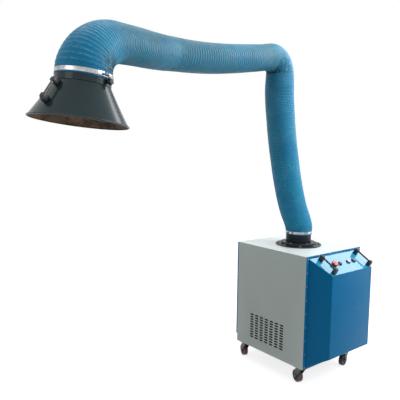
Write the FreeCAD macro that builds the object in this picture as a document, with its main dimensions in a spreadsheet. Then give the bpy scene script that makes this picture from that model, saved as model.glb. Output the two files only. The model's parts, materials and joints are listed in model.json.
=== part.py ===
"""Mobile welding fume extractor: a wheeled filter cabinet with a jointed extraction arm.

Millimetres. The origin is on the floor under the arm's swivel axis, +Z is up, and the
control bay faces -Y. The vented side of the cabinet is -X.
"""
import FreeCAD, Part
import math
import os
import types

import Sketcher
from FreeCAD import Matrix, Placement, Rotation, Vector

doc = FreeCAD.newDocument("fume_extractor")

# Driving dimensions: alias, value, meaning
SIZES = [
    ("cab_width", 524, "cabinet, outside, along X"),
    ("cab_depth", 565, "cabinet, outside, along Y, without the bay"),
    ("cab_height", 676, "cabinet, without the casters"),
    ("floor_gap", 108, "height of the cabinet's underside above the floor"),
    ("sheet", 2, "thickness of the cabinet's steel sheet"),
    ("return_width", 26, "folded edge of each side panel, front and back"),
    ("pan_wall", 3, "thickness of the base pan"),
    ("pan_height", 42, "height of the base pan's rim"),
    ("slot_length", 28, "vent slot, along Y"),
    ("slot_height", 8, "vent slot, along Z"),
    ("slot_pitch_y", 42.3, "vent slot columns, centre to centre"),
    ("slot_pitch_z", 16.5, "vent slot rows, centre to centre"),
    ("slot_columns", 7, "vent slot columns"),
    ("slot_rows", 10, "vent slot rows"),
    ("slot_low", 70, "lowest row of slots above the cabinet's underside"),
    ("slot_back", 144, "rearmost column of slots behind the swivel axis"),
    ("bay_depth", 133, "how far the control bay stands out"),
    ("bay_inset", 68, "how far the bay's front is in from each side"),
    ("bay_flange", 20, "flat strip at the bay's sides"),
    ("bay_flange_top", 14, "flat strip above the control panel"),
    ("bay_flange_low", 12, "flat strip under the bay"),
    ("bay_drop", 94, "front end of the control panel below the cabinet's top"),
    ("bay_foot", 93, "bay's front above the cabinet's underside"),
    ("bay_margin", 16, "strip of the bay that the control panel lies on"),
    ("rear_stand", 15, "how far the rear cover stands out"),
    ("rear_inset", 5, "rear cover in from the cabinet's sides and top"),
    ("rear_foot", 46, "rear cover above the cabinet's underside"),
    ("panel_thick", 2, "control panel plate"),
    ("panel_edge", 1.5, "control panel in from the edges of the slope"),
    ("button_hole", 11, "radius of the control panel's holes"),
    ("controls_up", 74, "row of controls above the panel's lower edge"),
    ("estop_x", -98, "emergency stop, across the panel"),
    ("test_x", -43, "small push button, across the panel"),
    ("lamp_x", 39, "lit push button, across the panel"),
    ("start_x", 92, "start push button, across the panel"),
    ("barrel", 10.8, "radius of a control's barrel under the panel"),
    ("barrel_depth", 24, "how deep a control's barrel goes"),
    ("bezel", 15, "radius of a push button's bezel"),
    ("bezel_height", 6, "bezel above the panel plate"),
    ("bezel_wall", 3.4, "wall of a bezel round its button"),
    ("cup_depth", 4, "how deep a bezel's cup goes below the plate"),
    ("cap_height", 5, "height of a push button's cap"),
    ("cap_lift", 1, "underside of a push button's cap above the panel plate"),
    ("press_travel", 3, "travel of a push button"),
    ("slide_gap", 0.3, "gap round a sliding button"),
    ("estop_head", 20, "radius of the emergency stop's mushroom head"),
    ("estop_height", 11, "height of the mushroom head"),
    ("estop_crown", 5, "rounding of the mushroom head"),
    ("estop_collar", 17, "radius of the emergency stop's collar"),
    ("estop_lift", 10, "underside of the mushroom head above the plate"),
    ("estop_stem", 7, "radius of the mushroom head's stem"),
    ("contact_width", 30, "contact block, across"),
    ("contact_height", 34, "contact block, along the barrel"),
    ("handle_x", 170, "panel handles either side of the middle"),
    ("handle_low", 16, "lower handle foot above the panel's lower edge"),
    ("handle_high", 125, "upper handle foot above the panel's lower edge"),
    ("handle_foot", 25, "handle foot, along the handle"),
    ("handle_wide", 20, "handle foot, across"),
    ("handle_stand", 38, "handle foot height"),
    ("handle_bar", 5, "radius of the handle's bar"),
    ("handle_axis", 28, "bar's axis above the plate"),
    ("handle_bevel", 5, "slanted outer corner of the panel handles' feet"),
    ("box_width", 240, "electrical box"),
    ("box_depth", 74, "electrical box"),
    ("box_height", 190, "electrical box"),
    ("box_up", 300, "electrical box above the cabinet's underside"),
    ("bulkhead", 3, "plate between bay and filter chamber"),
    ("shelf_up", 262, "filter shelf above the cabinet's underside"),
    ("shelf_thick", 4, "filter shelf"),
    ("shelf_hole", 95, "radius of the clean air hole"),
    ("filter_radius", 162, "filter cartridge, over the pleats"),
    ("filter_core", 104, "filter cartridge, inside"),
    ("filter_head_room", 110, "space between the filter cartridge and the cabinet's top"),
    ("filter_cap_height", 12, "end caps of the cartridge"),
    ("filter_cap_over", 3, "end caps over the pleats"),
    ("pleats", 28, "pleats of the cartridge"),
    ("pleat_depth", 30, "depth of a pleat"),
    ("rod_radius", 5, "tie rod through the cartridge"),
    ("rod_plate", 5, "cross strap under the tie rod"),
    ("rod_over", 16, "tie rod above the cartridge"),
    ("wheel_gap", 12, "fan wheel to the housing"),
    ("fan_radius", 112, "fan wheel"),
    ("fan_height", 52, "fan wheel"),
    ("fan_plate", 3, "fan wheel's back plate and shroud"),
    ("fan_eye", 66, "radius of the fan wheel's inlet"),
    ("fan_hub", 20, "radius of the fan wheel's hub"),
    ("fan_blades", 9, "blades of the fan wheel"),
    ("fan_sweep", 36, "how far a blade leans back, degrees"),
    ("scroll_radius", 150, "fan housing"),
    ("scroll_wall", 2, "fan housing"),
    ("outlet_width", 96, "fan housing's outlet"),
    ("outlet_reach", 238, "fan housing's outlet, from the fan's axis"),
    ("motor_radius", 78, "motor body"),
    ("motor_height", 134, "motor body"),
    ("motor_fin", 5, "depth of the motor's ribs"),
    ("motor_fins", 16, "ribs round the motor"),
    ("shaft_radius", 9, "motor shaft"),
    ("shaft_fit", 0.05, "running gap of a shaft or pin"),
    ("flange_radius", 145, "round flange on the cabinet's top"),
    ("flange_thick", 6, "round flange on the cabinet's top"),
    ("bolt_circle", 130, "radius of the flange's bolt circle"),
    ("bolt_count", 8, "bolts of the flange"),
    ("bolt_head", 6.5, "half width of a bolt head"),
    ("bolt_height", 5, "height of a bolt head"),
    ("bolt_shank", 4, "radius of a bolt"),
    ("cap_radius", 112, "bearing cap"),
    ("cap_top", 14, "bearing cap above the flange"),
    ("cap_lip", 6, "thickness of the bearing cap's lip"),
    ("collar_radius", 80, "swivel collar, outside"),
    ("collar_wall", 3, "swivel collar"),
    ("collar_height", 84, "swivel collar, above the flange"),
    ("collar_foot", 14, "swivel collar's foot ring beyond its wall"),
    ("collar_foot_thick", 6.5, "swivel collar's foot ring"),
    ("swivel_gap", 0.5, "gap between the swivel's plain faces"),
    ("spigot_wall", 2.5, "duct inside the swivel collar"),
    ("spigot_rise", 62, "duct above the flange"),
    ("spigot_depth", 62, "duct below the flange"),
    ("yaw_arm", 187, "direction of the arm's plane from +X, degrees"),
    ("shoulder_up", 31, "shoulder pin above the collar's top"),
    ("lean_low", 31.5, "lower link from the vertical, degrees"),
    ("reach_low", 287, "lower link, shoulder pin to crank"),
    ("lean_high", 10.8, "lower link above its crank, degrees"),
    ("reach_high", 747, "lower link, crank to elbow pin"),
    ("droop", 4, "forearm below the horizontal, degrees"),
    ("reach_fore", 832, "forearm, elbow pin to swing pin"),
    ("swing", 22.17, "hood arm turned sideways from the forearm, degrees"),
    ("dip", 7.19, "hood arm below the horizontal, degrees"),
    ("reach_hood", 648.7, "hood arm, swing pin to tilt pin"),
    ("neck_drop", 110, "tilt pin above the hood clamp"),
    ("neck_side", 0.3, "hood axis leaning to the back, degrees"),
    ("neck_fore", -6.9, "hood axis leaning along X, degrees"),
    ("eye", 16, "radius of a link's eye"),
    ("pin", 8, "radius of a pin"),
    ("pin_head", 12, "radius of a pin's head"),
    ("pin_head_thick", 4, "pin head"),
    ("pin_head_gap", 0.1, "gap between a pin's head and its fork"),
    ("tongue", 22, "thickness of a link's tongue"),
    ("cheek", 6, "thickness of a fork's cheek"),
    ("fork_gap", 0.5, "gap between tongue and cheek"),
    ("fork_depth", 46, "fork's open length behind its pin"),
    ("tube", 10, "radius of the hood arm's tube"),
    ("bracket_ring", 10, "width of the shoulder bracket's ring"),
    ("bracket_thick", 5, "shoulder bracket's ring and bridge"),
    ("bracket_half", 15, "half width of the bridge and lugs"),
    ("hose_fit", 0.3, "gap between hose and collar"),
    ("hose_wall", 2.5, "hose at the bottom of its ribs"),
    ("rib_depth", 3.5, "height of the hose's ribs"),
    ("rib_pitch", 20, "hose ribs, along the hose"),
    ("bore_step", 110, "hose bore, between its circles"),
    ("hose_gap", 0.3, "gap between two lengths of hose"),
    ("cuff", 32, "plain end of the hose under a clamp"),
    ("cuff_over", 18, "hose over the collar below its top"),
    ("hose_mid", 86, "radius over the ribs in the middle of the lower length"),
    ("hose_turn", 73, "radius over the ribs past the elbow"),
    ("hose_fore", 77, "radius over the ribs at the forearm's far end"),
    ("hose_swing", 78, "radius over the ribs at the swing pin"),
    ("hose_wrist", 76, "radius over the ribs before the last bend"),
    ("low_from", 110, "lower hose starts beyond the shoulder pin"),
    ("elbow_back", 32, "lower hose ends behind the elbow pin"),
    ("elbow_down", 120, "lower hose ends below the elbow pin"),
    ("elbow_on", 130, "forearm hose starts beyond the elbow pin"),
    ("elbow_rise", 24, "forearm hose starts above the elbow pin"),
    ("start_droop", 10, "forearm hose at its start, degrees below the horizontal"),
    ("end_droop", 2, "forearm hose at its end, degrees below the horizontal"),
    ("swing_span", 60, "bending length either side of the swing pin"),
    ("wrist_span", 187, "hood arm hose ends before the tilt pin"),
    ("hose_bow", 12.3, "hood arm's hose above its tube at the wrist"),
    ("elbow_bend", 88, "radius of the hose's bend at the elbow"),
    ("low_first", 200, "pull of the lower hose's curve at its start"),
    ("low_last", 160, "pull of the lower hose's curve at its end"),
    ("wrist_first", 82, "pull of the wrist's curve at its start"),
    ("wrist_last", 83, "pull of the wrist's curve at its end"),
    ("clamp_width", 14, "clamp band"),
    ("clamp_thick", 2, "clamp band"),
    ("clamp_gap", 0.2, "gap between band and hose"),
    ("screw_length", 30, "clamp's worm housing"),
    ("screw_width", 13, "clamp's worm housing"),
    ("screw_rise", 11, "clamp's worm housing"),
    ("neck_radius", 93, "hood neck under the hose"),
    ("neck_wall", 3, "hood neck"),
    ("neck_step", 97, "hood neck below the hose"),
    ("neck_top", 8, "hood neck above the clamp's middle"),
    ("neck_edge", 12, "hose end below the clamp's middle"),
    ("neck_low", 35, "hood neck below the clamp's middle"),
    ("strap_thick", 4, "tilt bracket's strap"),
    ("strap_half", 10, "half width of the tilt bracket's strap"),
    ("strap_rise", 7.5, "upright part of the strap at each side"),
    ("strap_top", 69, "underside of the strap above the clamp's middle"),
    ("strap_flat", 28, "half length of the strap's flat top"),
    ("damper_radius", 84, "damper flap"),
    ("damper_thick", 2, "damper flap"),
    ("damper_down", 20, "damper shaft below the clamp's middle"),
    ("damper_shaft", 4, "radius of the damper shaft"),
    ("knob_radius", 12, "damper knob"),
    ("knob_height", 19, "damper knob"),
    ("knob_lobes", 5, "lobes of the damper knob"),
    ("knob_lobe", 4, "radius of a lobe's hollow"),
    ("hood_radius", 169.5, "hood's rim"),
    ("hood_height", 124, "hood's cone"),
    ("hood_wall", 2, "hood's sheet"),
    ("hood_lip", 8, "hood's sleeve inside the neck"),
    ("hood_turn_gap", 0.1, "gap round the hood's sleeve"),
    ("rim_roll", 3, "radius of the rolled rim"),
    ("grip_angle", -100, "hood handle round the hood, degrees"),
    ("grip_high", 19, "upper handle foot along the cone"),
    ("grip_low", 92, "lower handle foot along the cone"),
    ("grip_foot", 22, "hood handle's foot, along the cone"),
    ("grip_wide", 18, "hood handle's foot, across"),
    ("grip_stand", 26, "hood handle's foot height"),
    ("grip_bar", 5, "radius of the hood handle's bar"),
    ("grip_axis", 19, "bar's axis above the cone"),
    ("grip_bevel", 8, "slanted outer corner of the hood handle's feet"),
    ("caster_in_x", 40, "caster pivots in from the cabinet's sides"),
    ("caster_in_y", 46.5, "caster pivots in from the cabinet's front and back"),
    ("plate_length", 74, "caster plate"),
    ("plate_width", 62, "caster plate"),
    ("plate_thick", 3, "caster plate"),
    ("race_radius", 25, "swivel race under the plate"),
    ("race_height", 8, "swivel race under the plate"),
    ("king_radius", 6, "caster's king pin"),
    ("king_length", 7, "caster's king pin below the race"),
    ("fork_thick", 3, "caster fork's sheet"),
    ("wheel_radius", 37.5, "caster wheel"),
    ("wheel_width", 27, "caster wheel"),
    ("wheel_side", 2, "gap between wheel and fork"),
    ("tyre_depth", 9, "tread of the wheel"),
    ("tyre_round", 3, "rounding of the tread"),
    ("rim_recess", 6, "recess in the wheel's face"),
    ("hub_radius", 14, "wheel's hub"),
    ("axle_radius", 5, "wheel's axle"),
    ("axle_head", 8, "axle's head and nut"),
    ("axle_head_thick", 4, "axle's head and nut"),
    ("trail", 27, "axle behind the king pin"),
    ("fork_eye", 12, "radius of the fork's eye"),
    ("yaw_front_left", 76, "front left caster's heading, degrees"),
    ("yaw_front_right", 190, "front right caster's heading, degrees"),
    ("yaw_back_left", 70, "back left caster's heading, degrees"),
    ("yaw_back_right", 235, "back right caster's heading, degrees"),
    ("screw_head", 5, "half width of a cover screw's head"),
    ("screw_head_high", 3, "cover screw's head"),
    ("front_screws", 9, "screws down each side of the bay"),
    ("top_screws", 6, "screws along the top of the bay"),
    ("rear_screws", 4, "screws down each side of the rear cover"),
    ("screw_end", 14, "first screw from the cover's end"),
    ("overrun", 5, "how far a cutting tool runs past its work"),
]

sheet = doc.addObject("Spreadsheet::Sheet", "Sizes")
for row, (alias, value, meaning) in enumerate(SIZES, start=1):
    sheet.set(f"A{row}", str(value))
    sheet.setAlias(f"A{row}", alias)
    sheet.set(f"B{row}", meaning)
doc.recompute()


class Size:
    """A number together with the formula that ties it to the sheet."""

    def __init__(self, value, text):
        self.value = value
        self.text = text

    def __add__(self, other):
        return Size(self.value + number(other), f"({self.text} + {formula(other)})")

    def __sub__(self, other):
        return Size(self.value - number(other), f"({self.text} - {formula(other)})")

    def __rsub__(self, other):
        return Size(number(other) - self.value, f"({formula(other)} - {self.text})")

    def __mul__(self, other):
        return Size(self.value * number(other), f"({self.text} * {formula(other)})")

    def __truediv__(self, other):
        return Size(self.value / number(other), f"({self.text} / {formula(other)})")

    def __neg__(self):
        return Size(-self.value, f"(0 - {self.text})")

    __radd__ = __add__
    __rmul__ = __mul__


def number(size):
    return size.value if isinstance(size, Size) else float(size)


def formula(size):
    return size.text if isinstance(size, Size) else repr(size)


def root(size):
    return Size(math.sqrt(size.value), f"sqrt({size.text})")


s = types.SimpleNamespace()
for alias, value, meaning in SIZES:
    setattr(s, alias, Size(float(sheet.get(alias)), "Sizes." + alias))


def half(size):
    return size / 2


# Heights above the floor, and the places that several pieces share
cab_top = s.floor_gap + s.cab_height
front_y = -half(s.cab_depth)
flange_top = cab_top + s.flange_thick
collar_top = flange_top + s.collar_height
clamp_z = collar_top - half(s.cuff_over) + half(s.clamp_width) / 2
shelf_z = s.floor_gap + s.shelf_up
filter_height = s.cab_height - s.shelf_up - s.shelf_thick - s.filter_head_room
caster_x = half(s.cab_width) - s.caster_in_x
caster_y = half(s.cab_depth) - s.caster_in_y
panel_run = root(
    s.bay_depth * s.bay_depth
    + (s.bay_drop - s.bay_flange_top) * (s.bay_drop - s.bay_flange_top)
)
collar_bore = s.collar_radius - s.collar_wall
fork_half = half(s.tongue) + s.fork_gap + s.cheek

PARTS = []


def keep(label, thing):
    """Name a finished sub-part and list it for export."""
    thing.Label = label
    PARTS.append(thing)
    return thing


def bind(thing, prop, size):
    """Tie one property to the sheet."""
    if isinstance(size, Size):
        thing.setExpression(prop, size.text)


def move(thing, x=0, y=0, z=0, turn=None):
    """Place an object, with its position tied to the sheet."""
    turn = turn or Rotation()
    thing.Placement = Placement(Vector(number(x), number(y), number(z)), turn)
    bind(thing, "Placement.Base.x", x)
    bind(thing, "Placement.Base.y", y)
    bind(thing, "Placement.Base.z", z)
    return thing


def box(name, length, width, height, x=0, y=0, z=0):
    """A block with its low corner at x, y, z."""
    thing = doc.addObject("Part::Box", name)
    for prop, size in (("Length", length), ("Width", width), ("Height", height)):
        bind(thing, prop, size)
    return move(thing, x, y, z)


def middle_box(name, length, width, height, x=0, y=0, z=0):
    """A block with its middle at x, y, z."""
    return box(name, length, width, height, x - half(length), y - half(width), z - half(height))


ALONG_X = Rotation(Vector(0, 1, 0), 90)
ALONG_Y = Rotation(Vector(1, 0, 0), -90)


def cylinder(name, radius, height, x=0, y=0, z=0, turn=None):
    """A cylinder that starts at x, y, z and runs along +Z, or where turn sends +Z."""
    thing = doc.addObject("Part::Cylinder", name)
    bind(thing, "Radius", radius)
    bind(thing, "Height", height)
    return move(thing, x, y, z, turn)


def prism(name, sides, radius, height, x=0, y=0, z=0, turn=None):
    """A regular prism, such as a bolt's head."""
    thing = doc.addObject("Part::Prism", name)
    thing.Polygon = sides
    bind(thing, "Circumradius", radius)
    bind(thing, "Height", height)
    return move(thing, x, y, z, turn)


def carry(thing, place):
    """Take a finished piece along into a tilted frame."""
    for axis in "xyz":
        thing.setExpression(f"Placement.Base.{axis}", None)
    thing.Placement = place.multiply(thing.Placement)
    return thing


def cut(name, base, tool):
    thing = doc.addObject("Part::Cut", name)
    thing.Base = base
    thing.Tool = tool
    return thing


def fuse(name, pieces):
    thing = doc.addObject("Part::MultiFuse", name)
    thing.Shapes = pieces
    thing.Refine = True
    return thing


def group(name, pieces):
    """Separate solids that share one node."""
    thing = doc.addObject("Part::Compound", name)
    thing.Links = pieces
    return thing


def new_body(name):
    return doc.addObject("PartDesign::Body", name)


def new_sketch(body, role, offset=None):
    """A sketch on one of the body's own planes, or beside it."""
    sketch = body.newObject("Sketcher::SketchObject", body.Name + "_sketch")
    plane = [f for f in body.Origin.OriginFeatures if f.Role == role][0]
    sketch.AttachmentSupport = [(plane, "")]
    sketch.MapMode = "FlatFace"
    if offset is not None:
        sketch.AttachmentOffset = Placement(Vector(0, 0, number(offset)), Rotation())
        bind(sketch, "AttachmentOffset.Base.z", offset)
    return sketch


def pin_point(sketch, geometry, end, x, y):
    """Hold one point of a sketch at x, y."""
    for kind, size, axis in (("DistanceX", x, -2), ("DistanceY", y, -1)):
        if number(size) == 0:
            sketch.addConstraint(Sketcher.Constraint("PointOnObject", geometry, end, axis))
        else:
            index = sketch.addConstraint(
                Sketcher.Constraint(kind, -1, 1, geometry, end, number(size))
            )
            bind(sketch, f"Constraints[{index}]", size)


def outline(sketch, points):
    """A closed outline of straight edges."""
    first = sketch.GeometryCount
    spots = [Vector(number(x), number(y), 0) for x, y in points]
    for index, spot in enumerate(spots):
        after = spots[(index + 1) % len(spots)]
        sketch.addGeometry(Part.LineSegment(spot, after), False)
    for index in range(len(spots)):
        after = first + (index + 1) % len(spots)
        sketch.addConstraint(Sketcher.Constraint("Coincident", first + index, 2, after, 1))
    for index, (x, y) in enumerate(points):
        pin_point(sketch, first + index, 1, x, y)
    return sketch


def rectangle(sketch, low_x, low_y, high_x, high_y):
    return outline(sketch, [(low_x, low_y), (high_x, low_y), (high_x, high_y), (low_x, high_y)])


def ring(sketch, x, y, radius):
    """A circle."""
    place = Vector(number(x), number(y), 0)
    index = sketch.addGeometry(Part.Circle(place, Vector(0, 0, 1), number(radius)), False)
    pin_point(sketch, index, 3, x, y)
    size = sketch.addConstraint(Sketcher.Constraint("Radius", index, number(radius)))
    bind(sketch, f"Constraints[{size}]", radius)
    return sketch


def pad(body, sketch, length, both=False):
    thing = body.newObject("PartDesign::Pad", body.Name + "_pad")
    thing.Profile = sketch
    bind(thing, "Length", length)
    thing.Midplane = both
    return thing


def pocket(body, sketch, length=None):
    """Cut a sketch out of the body, to a depth or right through both ways."""
    thing = body.newObject("PartDesign::Pocket", body.Name + "_pocket")
    thing.Profile = sketch
    if length is None:
        thing.Type = "ThroughAll"
        thing.Midplane = True
    else:
        bind(thing, "Length", length)
    return thing


def revolve(body, sketch):
    """Turn a half section in the XZ plane about Z."""
    thing = body.newObject("PartDesign::Revolution", body.Name + "_turned")
    thing.Profile = sketch
    thing.ReferenceAxis = (sketch, ["V_Axis"])
    thing.Angle = 360
    return thing


def polar(body, feature, sketch, count):
    """Repeat a feature round the sketch's normal."""
    thing = body.newObject("PartDesign::PolarPattern", body.Name + "_round")
    thing.Originals = [feature]
    thing.Axis = (sketch, ["N_Axis"])
    thing.Angle = 360
    thing.Occurrences = int(number(count))
    bind(thing, "Occurrences", count)
    body.Tip = thing
    return thing


def turned(name, points):
    """A body made by turning one half section."""
    body = new_body(name)
    revolve(body, outline(new_sketch(body, "XZ_Plane"), points))
    return body


# Frames that the tilted pieces are placed in


def direction(lean, yaw=0):
    """A unit vector leaning from +Z towards the yaw angle, degrees."""
    lean, yaw = math.radians(lean), math.radians(yaw)
    flat = math.sin(lean)
    return Vector(flat * math.cos(yaw), flat * math.sin(yaw), math.cos(lean))


def frame(origin, x_axis, z_axis):
    """A placement whose X and Z axes are given."""
    z = Vector(z_axis).normalize()
    y = z.cross(x_axis).normalize()
    x = y.cross(z)
    grid = Matrix(
        x.x, y.x, z.x, origin.x, x.y, y.y, z.y, origin.y, x.z, y.z, z.z, origin.z, 0, 0, 0, 1
    )
    return Placement(grid)


UP = Vector(0, 0, 1)
arm_yaw = s.yaw_arm.value
arm_out = direction(90, arm_yaw)
arm_side = UP.cross(arm_out)
shoulder = Vector(0, 0, number(collar_top + s.shoulder_up))
low_way = direction(s.lean_low.value, arm_yaw)
high_way = direction(s.lean_high.value, arm_yaw)
crank = shoulder + low_way * s.reach_low.value
elbow = crank + high_way * s.reach_high.value
fore_way = direction(90 + s.droop.value, arm_yaw)
swing_pin = elbow + fore_way * s.reach_fore.value
swing_up = fore_way.cross(arm_side) * -1
if swing_up.z < 0:
    swing_up = swing_up * -1
hood_way = direction(90 + s.dip.value, arm_yaw + s.swing.value)
tilt_pin = swing_pin + hood_way * s.reach_hood.value
side_lean = math.radians(s.neck_side.value)
fore_lean = math.radians(s.neck_fore.value)
hood_axis = Vector(math.sin(fore_lean), math.sin(side_lean), -math.cos(side_lean)).normalize()
hood_side = hood_way.cross(hood_axis).normalize()
hood_origin = tilt_pin + hood_axis * s.neck_drop.value
hood_frame = frame(hood_origin, hood_side, hood_axis * -1)
panel_angle = math.degrees(math.atan2(number(s.bay_drop - s.bay_flange_top), s.bay_depth.value))
panel_frame = Placement(
    Vector(0, number(front_y - s.bay_depth), number(cab_top - s.bay_drop)),
    Rotation(Vector(1, 0, 0), panel_angle),
)

# Cabinet shell


def base_pan():
    """Welded floor pan with an upstanding rim, which the casters bolt to."""
    body = new_body("base_pan")
    x = half(s.cab_width) - s.sheet
    y = half(s.cab_depth) - s.sheet
    plan = rectangle(new_sketch(body, "XY_Plane"), -x, -y, x, y)
    pad(body, plan, s.pan_height)
    inside = new_sketch(body, "XY_Plane", s.pan_height)
    rectangle(inside, s.pan_wall - x, s.pan_wall - y, x - s.pan_wall, y - s.pan_wall)
    pocket(body, inside, s.pan_height - s.pan_wall)
    return keep("base_pan", move(body, z=s.floor_gap))


def side_panel(name, side, vented):
    """Folded side panel: a channel in plan, with a grid of vent slots on one side."""
    body = new_body(name)
    x, y = half(s.cab_width), half(s.cab_depth)
    inner, fold = x - s.sheet, x - s.return_width
    points = [
        (x, -y),
        (x, y),
        (fold, y),
        (fold, y - s.sheet),
        (inner, y - s.sheet),
        (inner, s.sheet - y),
        (fold, s.sheet - y),
        (fold, -y),
    ]
    plan = outline(new_sketch(body, "XY_Plane"), [(a * side, b) for a, b in points])
    pad(body, plan, s.cab_height - s.sheet)
    if vented:
        slot = new_sketch(body, "YZ_Plane")
        low_y = s.slot_back - half(s.slot_length) - s.slot_pitch_y * (s.slot_columns - 1)
        low_z = s.slot_low - half(s.slot_height)
        rectangle(slot, low_y, low_z, low_y + s.slot_length, low_z + s.slot_height)
        first = pocket(body, slot)
        grid = body.newObject("PartDesign::LinearPattern", name + "_grid")
        grid.Originals = [first]
        grid.Direction = (slot, ["H_Axis"])
        grid.Direction2 = (slot, ["V_Axis"])
        grid.Occurrences = int(s.slot_columns.value)
        grid.Occurrences2 = int(s.slot_rows.value)
        bind(grid, "Length", s.slot_pitch_y * (s.slot_columns - 1))
        bind(grid, "Length2", s.slot_pitch_z * (s.slot_rows - 1))
        bind(grid, "Occurrences", s.slot_columns)
        bind(grid, "Occurrences2", s.slot_rows)
        body.Tip = grid
    return keep(name, move(body, z=s.floor_gap))


def top_panel():
    """Flat top with a hole for the duct."""
    body = new_body("top_panel")
    x, y = half(s.cab_width), half(s.cab_depth)
    plan = rectangle(new_sketch(body, "XY_Plane"), -x, -y, x, y)
    ring(plan, 0, 0, collar_bore + s.swivel_gap)
    pad(body, plan, s.sheet)
    return keep("top_panel", move(body, z=cab_top - s.sheet))


def rear_cover():
    """Shallow tray screwed over the open back."""
    body = new_body("rear_cover")
    x = half(s.cab_width) - s.rear_inset
    high = s.cab_height - s.rear_foot - s.rear_inset
    plan = rectangle(new_sketch(body, "XZ_Plane"), -x, 0, x, high)
    back = pad(body, plan, s.rear_stand)
    back.Reversed = True
    inside = new_sketch(body, "XZ_Plane")
    rectangle(inside, s.sheet - x, s.sheet, x - s.sheet, high - s.sheet)
    hollow = pocket(body, inside, s.rear_stand - s.sheet)
    hollow.Reversed = False
    return keep("rear_cover", move(body, y=half(s.cab_depth), z=s.floor_gap + s.rear_foot))


def wedge(name, front, back):
    """A block whose front and back rectangles differ: each is low x, low z, high x, high z, y."""
    thing = doc.addObject("Part::Wedge", name)
    for prefix, row in (("", front), ("2", back)):
        low_x, low_z, high_x, high_z, y = row
        bind(thing, f"X{prefix}min", low_x)
        bind(thing, f"Z{prefix}min", low_z)
        bind(thing, f"X{prefix}max", high_x)
        bind(thing, f"Z{prefix}max", high_z)
        bind(thing, "Ymax" if prefix else "Ymin", y)
    return thing


def bay_rows(inset):
    """The bay's front and back rectangles, drawn in by a wall."""
    x_front = half(s.cab_width) - s.bay_inset - inset
    x_back = half(s.cab_width) - s.bay_flange - inset
    low_front = s.floor_gap + s.bay_foot + inset
    high_front = cab_top - s.bay_drop - inset
    low_back = s.floor_gap + s.bay_flange_low + inset
    high_back = cab_top - s.bay_flange_top - inset
    return (
        (-x_front, low_front, x_front, high_front, front_y - s.bay_depth + inset),
        (-x_back, low_back, x_back, high_back, front_y),
    )


def front_cover():
    """Bay tapered in plan, with a flat flange round it and an opening in its sloped top."""
    x = half(s.cab_width)
    flange = box("bay_strip", x * 2, s.sheet, s.cab_height, -x, front_y - s.sheet, s.floor_gap)
    skin = fuse("bay_skin", [flange, wedge("bay_outside", *bay_rows(s.sheet * 0))])
    hollow = cut("bay_hollow", skin, wedge("bay_inside", *bay_rows(s.sheet)))
    front, back = bay_rows(s.bay_margin)
    middle = s.floor_gap + half(s.cab_height)
    above = cab_top + s.overrun
    window = wedge(
        "bay_window",
        (front[0], middle, front[2], above, front_y - s.bay_depth + s.bay_margin),
        (back[0], middle, back[2], above, front_y - s.bay_margin),
    )
    return keep("front_cover", cut("front_cover", hollow, window))


def bulkhead():
    """Plate that closes the filter chamber behind the bay."""
    x = half(s.cab_width) - s.sheet
    low = s.floor_gap + s.pan_height
    high = cab_top - s.sheet
    plate = box("bulkhead", x * 2, s.bulkhead, high - low, -x, front_y + s.sheet, low)
    return keep("bulkhead", plate)


def cover_screws():
    """Heads of the screws that hold the bay and the rear cover."""
    heads = []
    forward, sideways = Rotation(Vector(1, 0, 0), 90), {-1: Rotation(Vector(0, 1, 0), -90)}
    sideways[1] = Rotation(Vector(0, 1, 0), 90)
    x = half(s.cab_width) - half(s.bay_flange)
    face = front_y - s.sheet
    tall = s.cab_height - s.screw_end * 2
    for side in (-1, 1):
        for index in range(int(s.front_screws.value)):
            z = s.floor_gap + s.screw_end + tall * index / (s.front_screws - 1)
            name = f"screw_{side}_{index}"
            heads.append(prism(name, 6, s.screw_head, s.screw_head_high, x * side, face, z, forward))
    for index in range(1, int(s.top_screws.value) - 1):
        across = x * 2 * index / (s.top_screws - 1) - x
        z = cab_top - half(s.bay_flange_top)
        name = f"screw_top_{index}"
        heads.append(prism(name, 6, s.screw_head, s.screw_head_high, across, face, z, forward))
    y = half(s.cab_depth) + half(s.rear_stand)
    edge = half(s.cab_width) - s.rear_inset
    high = s.cab_height - s.rear_foot - s.rear_inset - s.screw_end * 4
    for side in (-1, 1):
        for index in range(int(s.rear_screws.value)):
            z = s.floor_gap + s.rear_foot + s.screw_end * 2 + high * index / (s.rear_screws - 1)
            name = f"screw_rear_{side}_{index}"
            turn = sideways[side]
            heads.append(
                prism(name, 6, s.screw_head, s.screw_head_high, edge * side, y, z, turn)
            )
    return keep("cover_screws", group("cover_screws", heads))


# Control panel

CONTROLS = {"estop": s.estop_x, "test": s.test_x, "lamp": s.lamp_x, "start": s.start_x}
CONTACT_TOP = -s.barrel_depth


def control_panel():
    """Sloped plate that narrows towards the front, with one round hole for each control."""
    body = new_body("control_panel")
    low_x = half(s.cab_width) - s.bay_inset - s.panel_edge
    high_x = half(s.cab_width) - s.bay_flange - s.panel_edge
    high_y = panel_run - s.panel_edge - s.sheet
    points = [(-low_x, s.panel_edge), (low_x, s.panel_edge), (high_x, high_y), (-high_x, high_y)]
    plan = outline(new_sketch(body, "XY_Plane"), points)
    for x in CONTROLS.values():
        ring(plan, x, s.controls_up, s.button_hole)
    pad(body, plan, s.panel_thick)
    body.Placement = panel_frame
    return keep("control_panel", body)


def on_panel(body, x, y=0, z=0):
    """Place a piece that was drawn about its own axis on the panel."""
    spot = Placement(Vector(number(x), number(y), number(z)), Rotation())
    body.Placement = panel_frame.multiply(spot)
    return body


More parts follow.
